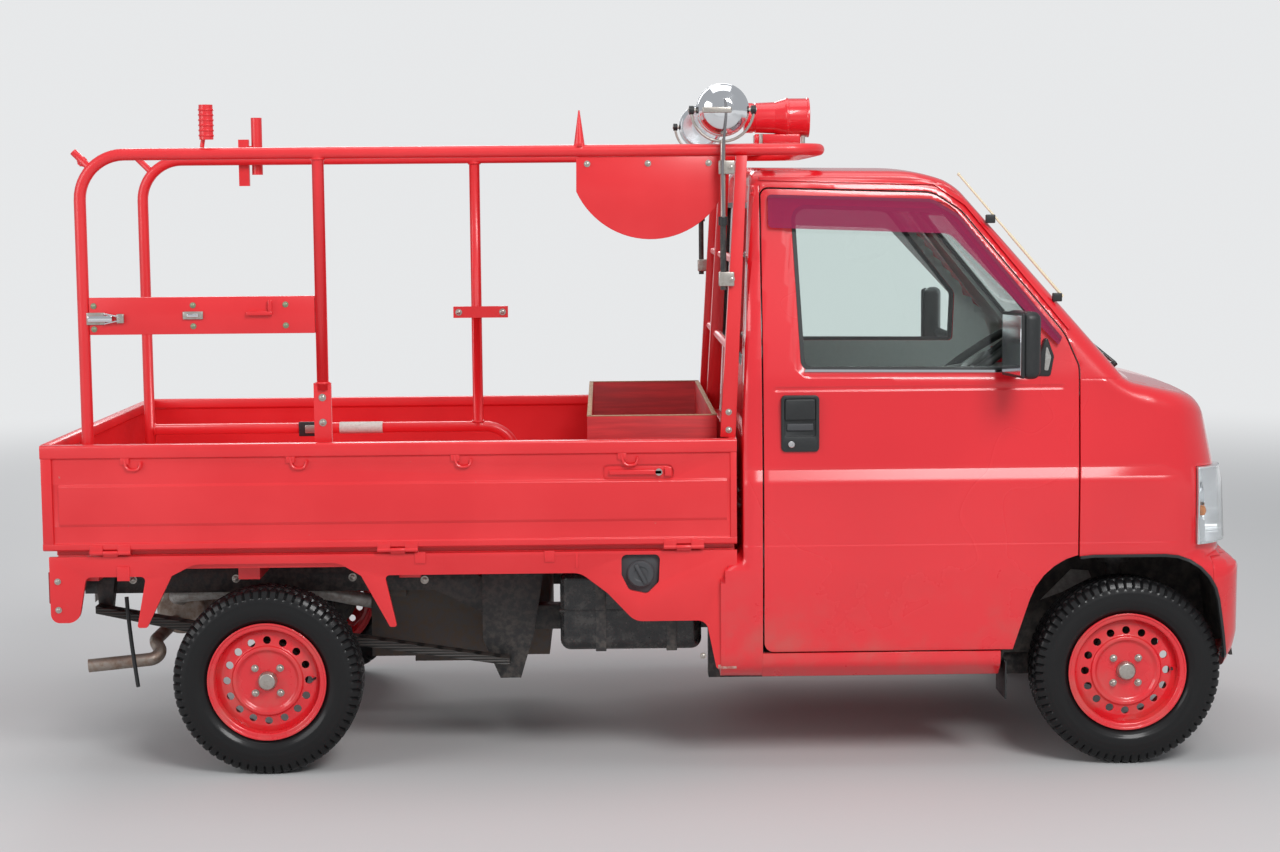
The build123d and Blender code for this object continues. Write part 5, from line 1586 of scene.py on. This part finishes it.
board_bolts = [
    bolt_at(x, board_face, z, 0.0055, old_brass, 10, 0.004) for x, z in (
        (-1.53, 1.32), (-1.53, 1.256), (-1.256, 1.32), (-1.256, 1.262), (-1.0, 1.32), (-1.0, 1.262))
]
moon_bolts = [bolt_at(x, rack_near - 0.003, 1.7, 0.006) for x in (-0.16, 0.008, 0.176)]
dress("rack_plates", rack_paint, 0.0012, extra=toggle + board_bolts + moon_bolts)
rib_profile = [(-0.003, 0.018), (-0.0025, 0.0205), (0, 0.0215), (0.0025, 0.0205), (0.003, 0.018)]
drum_ribs = [
    turned_mesh("ring", rib_profile, (-1.207, rack_near, z), "z", 1, 32)
    for z in (1.786, 1.8, 1.814, 1.828, 1.842, 1.856)
]
drums = coated(joined_mesh("fittings", dressed_mesh("rack_fittings", 0), *drum_ribs), rack_paint)
put_for("rack_fittings", smooth(drums, 42))
guard_bolts = [bolt_at(0.227, -0.68, z, 0.006) for z in (0.96, 1.01)]
dress("guard_frame", rack_paint, 0.002, extra=guard_bolts)
print("boards, fittings and guard dressed")

# %% [markdown]
# Two searchlights stand on poles behind the cab. The near one shows its silver back, a dome with a
# rolled rim, a handle across it, a clamp screw at each pivot and a grey cable into the pole's foot.
# The siren is a red drum with a horn, held by a plate and a bent channel.

# %% Build the searchlights
light_x, light_z = 0.214, 1.844
rim_place = -0.672


def lamp_spot(ahead, outward, up):
    """A point counted from the middle of the right lamp's rim."""
    return (light_x + ahead, rim_place + outward, light_z + up)


dome_rows = [
    (-0.018, 0, 0), (-0.018, 0.06, 0), (-0.018, 0.066, 0.002), (-0.008, 0.073, 0.003), (0.006, 0.073, 0.003),
    (0.009, 0.0705, 0.002), (0.022, 0.068, 0.02), (0.04, 0.052, 0.02), (0.052, 0.028, 0.03), (0.056, 0, 0),
]
glass_rows = [(-0.0175, 0, 0), (-0.0175, 0.06, 0), (-0.0185, 0.06, 0), (-0.0225, 0.03, 0.04), (-0.0235, 0, 0)]
knob_profile = [(0, 0), (0, 0.012), (0.012, 0.012), (0.014, 0.01), (0.014, 0)]
collar_profile = [(-0.012, 0), (-0.012, 0.013), (0.012, 0.013), (0.012, 0)]
dome_corners = arc_corners(dome_rows, closed=False, steps=5)
glass_corners = arc_corners(glass_rows, closed=False, steps=4)
yoke_turns = [math.radians(turn) for turn in range(180, 361, 10)]
yoke_route = [lamp_spot(0.086 * math.cos(turn), 0, 0.086 * math.sin(turn)) for turn in yoke_turns]
handle_low, handle_high = lamp_spot(-0.058, -0.062, -0.01), lamp_spot(0.022, -0.052, 0.006)
searchlight = joined_mesh(
    "searchlight",
    coated(turned_mesh("dome", dome_corners, lamp_spot(0, 0, 0), "y", -1, 72), chrome),
    coated(turned_mesh("front_glass", glass_corners, lamp_spot(0, 0, 0), "y", -1, 48), clear_lens),
    coated(tube_mesh("yoke", yoke_route, 0.004, sides=12), satin_silver),
    round_bar("pivot", lamp_spot(-0.094, 0, 0), lamp_spot(-0.07, 0, 0), 0.006, satin_silver),
    round_bar("pivot", lamp_spot(0.07, 0, 0), lamp_spot(0.094, 0, 0), 0.006, satin_silver),
    coated(turned_mesh("knob", knob_profile, lamp_spot(-0.092, 0, 0), "x", 1, 20), black_plastic),
    coated(turned_mesh("knob", knob_profile, lamp_spot(0.092, 0, 0), "x", -1, 20), black_plastic),
    block("handle_bar", handle_low, handle_high, satin_silver, 0.003, 3),
    round_bar("handle_post", lamp_spot(-0.05, -0.056, 0), lamp_spot(-0.05, -0.03, 0), 0.004, satin_silver),
    round_bar("pole", (light_x, -0.68, 1.35), (light_x, -0.68, 1.54), 0.0085, black_steel),
    round_bar("pole_top", (light_x, -0.68, 1.538), (light_x, -0.68, 1.762), 0.0075, satin_silver),
    coated(turned_mesh("collar", collar_profile, (light_x, -0.68, 1.54), "z", 1, 24), black_plastic),
    block("clamp", (0.2015, -0.6925, 1.668), (0.246, -0.6675, 1.706), satin_silver, 0.003, 3),
    block("clamp", (0.2015, -0.6925, 1.36), (0.244, -0.6675, 1.4), satin_silver, 0.003, 3),
    *(bolt_at(0.236, -0.6925, z, 0.006, height=0.005) for z in (1.687, 1.38)),
)
smooth(searchlight, 42)
for piece in both_sides("searchlight", searchlight, None):
    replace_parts(piece, "searchlights")
cable_route = [
    (light_x + 0.004, -0.7215, 1.872), (light_x + 0.008, -0.7305, 1.848), (light_x + 0.006, -0.7315, 1.812),
    (light_x + 0.002, -0.712, 1.77), (light_x - 0.001, -0.7005, 1.725), (light_x - 0.003, -0.7005, 1.66),
    (light_x - 0.001, -0.699, 1.6), (light_x, -0.694, 1.55),
]
for side, flip in (("right", 1), ("left", -1)):
    cable = coated(
        tube_mesh("lamp_cable", [(x, y * flip, z) for x, y, z in cable_route], 0.0035, True), cable_grey
    )
    add_piece("lamp_cable_" + side, cable, None)
print("searchlight faces", len(searchlight.polygons))

# %% [markdown]
# The siren's drum is one turned profile with steps and grooves. A wire grille closes its mouth, and a
# foot with bolts holds it on a plate.

# %% Build the siren
siren_y, siren_z = -0.235, 1.838
drum_rows = [
    (0.3, 0, 0), (0.3, 0.04, 0.003), (0.304, 0.044, 0.003), (0.326, 0.044, 0.002), (0.328, 0.0415, 0.001),
    (0.332, 0.0415, 0.001), (0.334, 0.044, 0.002), (0.39, 0.046, 0.004), (0.42, 0.056, 0.006),
    (0.424, 0.058, 0.001), (0.43, 0.058, 0.001), (0.432, 0.0565, 0.001), (0.484, 0.0565, 0.001),
    (0.486, 0.058, 0.001), (0.492, 0.058, 0.002), (0.492, 0.052, 0.002), (0.44, 0.046, 0.004), (0.44, 0, 0),
]
drum = turned_mesh("drum", arc_corners(drum_rows, closed=False, steps=4), (0, siren_y, siren_z), "x", 1, 64)
grille = []
for r in (0.012, 0.024, 0.036, 0.046):
    wire = [(-0.002, r - 0.0015), (-0.002, r + 0.0015), (0.002, r + 0.0015), (0.002, r - 0.0015)]
    grille.append(coated(turned_mesh("grille", wire, (0.474, siren_y, siren_z), "x", 1, 40), black_steel))
for turn in (0.5, 2.6, 4.7):
    ends = [(0.474, siren_y + r * math.cos(turn), siren_z + r * math.sin(turn)) for r in (0.006, 0.052)]
    grille.append(round_bar("spoke", *ends, 0.0016, black_steel))
siren = joined_mesh(
    "siren", coated(drum, cab_paint), *grille,
    block("foot", (0.33, siren_y - 0.03, 1.7615), (0.466, siren_y + 0.03, 1.79), cab_paint, 0.004, 3),
    block("plate", (0.318, siren_y - 0.045, 1.7532), (0.505, siren_y + 0.045, 1.7575), cab_paint, 0.0012),
    block("channel", (0.322, siren_y - 0.041, 1.7575), (0.501, siren_y + 0.041, 1.7615), satin_silver, 0.001),
    block("leg", (0.334, siren_y - 0.04, 1.7405), (0.366, siren_y + 0.04, 1.7535), satin_silver, 0.001),
    round_bar("bolt", (0.349, siren_y - 0.03, 1.7615), (0.349, siren_y - 0.03, 1.79), 0.006, satin_silver),
    round_bar("bolt", (0.473, siren_y - 0.03, 1.7615), (0.473, siren_y - 0.03, 1.784), 0.006, satin_silver),
)
put_for("siren", smooth(siren, 42))
print("siren faces", len(siren.polygons))

# %% [markdown]
# The antenna is a pale rod in two stages on dark clamps. Each wiper is a bent arm with a flat
# blade in its clips. Over the door a folded drip rail runs from the screen to the back, and a rubber
# lip edges each front wheel arch.

# %% Dress the antenna, wipers and rails
antenna_low, antenna_high = Vector((1.162, -0.66, 1.3215)), Vector((0.875, -0.62, 1.6634))
antenna_line = antenna_high - antenna_low
antenna_parts = [
    round_bar("rod", antenna_low, antenna_low + antenna_line * 0.52, 0.0042, pale_rod),
    round_bar("rod", antenna_low + antenna_line * 0.5, antenna_high, 0.0032, pale_rod),
]
tip_profile = [(-0.005, 0), (-0.004, 0.003), (0, 0.0045), (0.004, 0.003), (0.005, 0)]
antenna_parts.append(coated(turned_mesh("tip", tip_profile, antenna_high, "z", 1, 16), pale_rod))
for part in (0.02, 0.66):
    grip = antenna_low + antenna_line * part
    low, high = grip + Vector((-0.024, -0.006, -0.02)), grip + Vector((0.003, 0.006, 0.004))
    antenna_parts.append(block("clamp", tuple(low), tuple(high), black_plastic, 0.003, 3))
put_for("antenna", smooth(joined_mesh("antenna", *antenna_parts)))
put_for("wipers", coated(dressed_mesh("wipers", 0.0008), black_plastic))
rail_line = [
    (0.318, 1.662), (0.318, 1.652), (0.806, 1.636), (0.892, 1.578), (1.172, 1.232), (1.18, 1.238),
    (0.899, 1.588), (0.811, 1.646),
]
for side, reach in (("right", (-reach_y, -0.4)), ("left", (0.4, reach_y))):
    mesh = layer("drip_rail", cab_form, -0.006, 0.003, [prism("cut", rail_line, "y", *reach)])
    rail = coated(rounded_edges(mesh, "drip_rail", 0.0015), cab_paint)
    add_piece("drip_rail_" + side, rail, None)
trim_forms = [across(arch_outline, -reach_y, -0.5), slab("cut", (1.203, -0.9, 0.3), (1.66, -0.5, 0.7))]
arch_trim = layer("arch_trim", nose_form, -0.003, 0.012, trim_forms, [across(grown(arch_outline, -0.008))])
both_sides("arch_trim", coated(rounded_edges(arch_trim, "arch_trim", 0.001), black_plastic), None)
print("rails and trim ready")

# %% [markdown]
# Through the glass the seats show as dark cloth. Each seat is a cushion and a back, puffed by a
# short cloth simulation with inner pressure from a slightly smaller block, and then given seams. The
# seams are thin piping that follows the pad's surface, found by rays from outside.

# %% Puff the seats
def rounded_block(name, low, high, lean=0.0, radius=0.03):
    """A soft block whose top can lean back along X."""
    mesh = rounded_edges(slab(name, low, high), name, radius, 4)
    for vertex in mesh.vertices:
        vertex.co.x -= lean * (vertex.co.z - low[2])
    return mesh


def puffed(name, mesh, pressure, cap):
    """A pad blown up by a cloth simulation, with each point's move held under a cap."""
    holder = loose_object(mesh)
    remesh = holder.modifiers.new("remesh", "REMESH")
    remesh.mode = "VOXEL"
    remesh.voxel_size = 0.012
    start = applied(holder, name + "_start")
    holder = loose_object(start)
    before = np.array([tuple(vertex.co) for vertex in start.vertices])
    cloth_step = holder.modifiers.new("cloth", "CLOTH")
    cloth_step.settings.use_pressure = True
    cloth_step.settings.uniform_pressure_force = pressure
    cloth_step.settings.effector_weights.gravity = 0
    cloth_step.settings.quality = 4
    for frame_number in range(1, 21):
        bpy.context.scene.frame_set(frame_number)
    after = applied(holder, name)
    moved = np.array([tuple(vertex.co) for vertex in after.vertices])
    step = moved - before
    size = np.linalg.norm(step, axis=1)
    step *= np.minimum(1, cap / np.maximum(size, 1e-9))[:, None]
    after.vertices.foreach_set("co", (before + step).ravel())
    after.update()
    bpy.context.scene.frame_set(1)
    holder = loose_object(after)
    finer = holder.modifiers.new("finer", "SUBSURF")
    finer.levels = 1
    return smooth(applied(holder, name), 80)


def piping(name, pad, start, end, axis, count=26):
    """A thin seam cord along a pad's surface, from rays along an axis towards the pad."""
    holder = loose_object(pad.copy())
    bpy.context.view_layer.update()
    route = []
    for step in range(count + 1):
        place = Vector(start).lerp(Vector(end), step / count)
        hit, spot, normal, face = holder.ray_cast(place, Vector(axis))
        if hit:
            route.append(tuple(spot))
    bpy.data.objects.remove(holder)
    return coated(tube_mesh(name, route, 0.0028, True, 8), seat_piping)


seat_middle = 0.33
low, high = seat_middle - 0.225, seat_middle + 0.225
cushion = rounded_block("cushion", (0.41, low, 0.482), (0.87, high, 0.588))
back_pad = rounded_block("back", (0.362, low + 0.01, 0.612), (0.446, high - 0.01, 1.18), 0.095)
cushion = coated(puffed("cushion", cushion, 4.0, 0.01), seat_cloth)
back_pad = coated(puffed("back", back_pad, 4.0, 0.01), seat_cloth)
seams = []
for y in (seat_middle - 0.13, seat_middle + 0.13):
    seams.append(piping("seam", cushion, (0.44, y, 0.7), (0.84, y, 0.7), (0, 0, -1)))
    seams.append(piping("seam", back_pad, (0.7, y, 0.66), (0.66, y, 1.14), (-1, 0, 0)))
for side, flip in (("left", 1), ("right", -1)):
    for part, mesh in (("cushion", cushion), ("back", back_pad)):
        side_mesh = mesh.copy() if flip > 0 else mirrored_mesh(mesh, part + "_right")
        pad = add_piece(f"seat_{part}_{side}", side_mesh, None)
        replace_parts(pad, "seats")
    low, high = (0.356, seat_middle - 0.2, 0.5605), (0.414, seat_middle + 0.2, 0.5995)
    fixed = joined_mesh("seat_trim", *seams, block("seat_hinge", low, high, black_steel, 0.004, 3))
    if flip < 0:
        fixed = mirrored_mesh(fixed, "seat_trim_right")
    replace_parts(add_piece("seat_trim_" + side, smooth(fixed), None), "seats")
print("seat pads", len(cushion.polygons), len(back_pad.polygons))

# %% [markdown]
# Little of the dashboard shows through the glass, so blocks with round edges are enough. The steering
# wheel is turned flat and then tilted onto its column.

# %% Dress the dashboard and steering wheel
dash_parts = [
    block("hood", (1.03, -0.5, 1.03), (1.15, -0.19, 1.07), grey_plastic, 0.014, 4),
    block("vent", (1.015, -0.1, 0.95), (1.035, 0.1, 1.0), black_plastic, 0.004, 3),
    block("radio", (1.016, -0.095, 0.88), (1.036, 0.095, 0.935), black_plastic, 0.003, 3),
    block("glovebox", (1.02, 0.19, 0.83), (1.04, 0.56, 0.96), grey_plastic, 0.006, 3),
    *(block("slat", (1.011, -0.092, z), (1.02, 0.092, z + 0.004), grey_plastic, 0.001)
      for z in (0.957, 0.967, 0.977, 0.987)),
]
dress("dashboard", grey_plastic, 0.006, extra=dash_parts)
wheel_axis = Vector((-0.57, 0, 0.82)).normalized()
wheel_middle = Vector((0.968, -0.33, 1.12))
tilt = Matrix.Translation(wheel_middle) @ wheel_axis.to_track_quat("Z", "Y").to_matrix().to_4x4()
grip_turns = [math.radians(turn) for turn in range(0, 360, 30)]
ring_points = [(0.013 * math.sin(turn), 0.18 + 0.013 * math.cos(turn)) for turn in grip_turns]
pad_corners = arc_corners(
    [(-0.024, 0, 0), (-0.024, 0.048, 0.004), (0.004, 0.052, 0.008), (0.01, 0, 0)], closed=False
)
wheel_parts = [
    turned_mesh("ring", ring_points, (0, 0, 0), "z", 1, 72),
    turned_mesh("pad", pad_corners, (0, 0, 0), "z", 1, 40),
]
for turn in (200, 340, 90):
    reach = Vector((math.cos(math.radians(turn)), math.sin(math.radians(turn)), 0)) * 0.176
    route = [(0, 0, -0.01), reach * 0.6 + Vector((0, 0, -0.006)), reach]
    wheel_parts.append(tube_mesh("spoke", route, 0.0095, True))
wheel_parts.append(tube_mesh("column", [(0, 0, -0.125), (0, 0, -0.015)], 0.024, sides=24))
wheel_mesh = coated(joined_mesh("steering_wheel", *wheel_parts), black_plastic)
wheel_mesh.transform(tilt)
put_for("steering_wheel", smooth(wheel_mesh))
print("inside dressed")

# %% [markdown]
# Under the bed the parts are plain but many: rails, leaf packs with their clips, a glossy tank with a
# pressed seam, a wrapped exhaust, and rubber flaps. Each solid keeps its own size with edges rounded,
# and the leaf packs get the lines between their leaves: ridges in relief, with painted shade in the gaps.

# %% Dress the underbody
tank_seam = [
    block("tank_seam", (-0.2515, -0.6415, 0.443), (0.1515, -0.4145, 0.4485), black_gloss, 0.002),
    block("tank_strap", (-0.15, -0.6412, 0.329), (-0.12, -0.415, 0.5612), black_steel, 0.0015),
    block("tank_strap", (0.05, -0.6412, 0.329), (0.08, -0.415, 0.5612), black_steel, 0.0015),
]
dress("fuel_tank", black_gloss, 0.004, extra=tank_seam)
chassis_bolts = [
    bolt_at(x, -0.4105, z, 0.008) for x, z in ((-1.5, 0.51), (-1.2, 0.51), (-0.86, 0.51), (-0.65, 0.5))
]
dress("chassis_frame", black_steel, 0.002, extra=chassis_bolts)
strap_route = [(-1.487, -0.56, 0.486), (-1.483, -0.562, 0.4), (-1.472, -0.562, 0.31), (-1.462, -0.56, 0.225)]
hanging_strap = coated(tube_mesh("hanger_strap", strap_route, 0.006, True), black_plastic)
add_piece("hanging_strap", hanging_strap, None)
dress("leaf_springs", spring_steel, 0.0015)
dress("engine_block", cast_iron, 0.006)
dress("front_suspension", black_steel, 0.0015)
for node, finish, steel in (
    ("rear_axle", black_steel, "black_steel"), ("exhaust", exhaust_steel, "exhaust_steel"),
):
    put_for(node, smooth(coated(dressed_mesh(node, 0), finish)))
pipe_route = [
    (-1.418, -0.1, 0.398), (-1.42, -0.2, 0.42), (-1.405, -0.29, 0.44), (-1.33, -0.324, 0.452),
    (-1.2, -0.325, 0.462), (-1.07, -0.325, 0.464), (-0.96, -0.322, 0.455), (-0.88, -0.3, 0.43),
    (-0.81, -0.26, 0.41),
]
wrapped_pipe = coated(tube_mesh("wrapped_pipe", pipe_route, 0.0215, True, 24), wrapped_silver)
add_piece("wrapped_pipe", wrapped_pipe, None)
for side in ("right", "left"):
    dress(f"knuckle_{side}", cast_iron, 0.002, f"knuckle_{side}")
print("underbody dressed")

# %% [markdown]
# The small parts that end the body: tail lamps in three cells, blank number plates, flaps, the arch
# liners and the mat on the cab's floor.

# %% Add plates, flaps and rear lamps
lamp_parts = [
    block("lamp_cell", (-1.6768, -high, 0.49), (-1.664, -low, 0.58), finish, 0.003, 3)
    for low, high, finish in ((0.52, 0.568, clear_lens), (0.57, 0.618, amber_lens), (0.62, 0.68, red_lens))
]
lamp_parts.append(block("lamp_case", (-1.6665, -0.6795, 0.4865), (-1.6625, -0.5205, 0.5835), black_plastic))
tail_lamp = smooth(joined_mesh("tail_lamp", *lamp_parts))
for piece in both_sides("tail_lamp", tail_lamp, None):
    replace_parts(piece, "tail_lamps")
for place, x, z in (("rear", -1.6712, 0.4), ("front", 1.6995, 0.398)):
    low, high = (x, -0.165, z), (x + 0.002, 0.165, z + 0.165)
    name = "number_plate_" + place
    add_piece(name, block(name, low, high, plate_white, 0.0006), None)
liner_room = slab("cut", (1.5, -0.9, 0.2), (1.8, 0.9, 0.302))
liner_mesh = smooth(cut_mesh("liners", dressed_mesh("arch_liners", 0), [("DIFFERENCE", liner_room)]))
liners = add_piece("liners_dressed", coated(liner_mesh, liner_black), None)
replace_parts(liners, "arch_liners")


def on_floor(centre, normal):
    """True for a face of the cab's floor that carries the rubber mat."""
    return centre.z > 0.285 and abs(centre.y) < 0.66 and centre.x < 1.262


floor_plain = coated(dressed_mesh("cab_floor", 0.002), cab_paint)
coat_where(floor_plain, liner_black, on_floor)
put_for("cab_floor", floor_plain)
patch_outline = [(1.152, 0.424), (1.241, 0.514), (1.293, 0.51), (1.301, 0.49), (1.28, 0.48), (1.216, 0.447)]
patch = rounded_edges(prism("inner_patch", patch_outline, "y", -0.4352, -0.433), "inner_patch", 0.0005)
both_sides("inner_patch", coated(patch, pale_primer), None)
for name, low, high in (
    ("front_flap", (1.001, -0.702, 0.19), (1.006, -0.56, 0.3)),
    ("rear_flap", (-0.764, -0.7, 0.56), (-0.758, -0.54, 0.629)),
):
    both_sides(name, block(name, low, high, black_plastic, 0.0015), None)
print("plates, lamps and liners ready")

# %% [markdown]
# The floor is pale and takes the truck's shadow. Far from the truck it fades into the plain colour
# that the camera sees behind it, so that no horizon line cuts the picture. Glass and metal see the
# same backdrop, and only the diffuse light comes from the dimmer world.

# %% Lay the floor and hang the backdrop
backdrop = (0.8, 0.81, 0.82)
floor_mesh = bpy.data.meshes.new("floor")
floor_mesh.from_pydata([(-60, -60, 0), (60, -60, 0), (60, 60, 0), (-60, 60, 0)], [], [(0, 1, 2, 3)])
floor = bpy.data.objects.new("floor", floor_mesh)
bpy.context.scene.collection.objects.link(floor)
floor_finish = Finish("floor_pale", (0.55, 0.55, 0.55), roughness=0.85)
distance = floor_finish.node("VectorMath", {"operation": "LENGTH"}, output=1, i0=floor_finish.place())
plain = floor_finish.node("Emission", Color=(*backdrop, 1), Strength=1.0)
seen = floor_finish.node("LightPath", output="Is Camera Ray")
mirrored_too = floor_finish.node("LightPath", output="Is Glossy Ray")
share = distance.between(4.5, 11.0) * seen.combine("MAXIMUM", seen, mirrored_too)
fading = floor_finish.node(
    "MixShader", i0=share, i1=Value(floor_finish.tree, floor_finish.shader.outputs[0]), i2=plain
)
output = next(node for node in floor_finish.tree.nodes if node.type == "OUTPUT_MATERIAL")
floor_finish.tree.links.new(fading.socket, output.inputs["Surface"])
floor_mesh.materials.append(floor_finish.material)
world = bpy.data.worlds.new("studio")
bpy.context.scene.world = world
world.use_nodes = True
sky = world.node_tree
sky_light = sky.nodes["Background"]
sky_light.inputs["Color"].default_value = (0.9, 0.93, 0.97, 1)
sky_light.inputs["Strength"].default_value = 0.5
sky_seen = sky.nodes.new("ShaderNodeBackground")
sky_seen.inputs["Color"].default_value = (*backdrop, 1)
sky_path = sky.nodes.new("ShaderNodeLightPath")
sky_either = sky.nodes.new("ShaderNodeMath")
sky_either.operation = "MAXIMUM"
sky_mix = sky.nodes.new("ShaderNodeMixShader")
sky.links.new(sky_path.outputs["Is Camera Ray"], sky_either.inputs[0])
sky.links.new(sky_path.outputs["Is Transmission Ray"], sky_either.inputs[1])
sky.links.new(sky_either.outputs[0], sky_mix.inputs[0])
sky.links.new(sky_light.outputs[0], sky_mix.inputs[1])
sky.links.new(sky_seen.outputs[0], sky_mix.inputs[2])
sky.links.new(sky_mix.outputs[0], sky.nodes["World Output"].inputs["Surface"])
print("floor and backdrop ready")
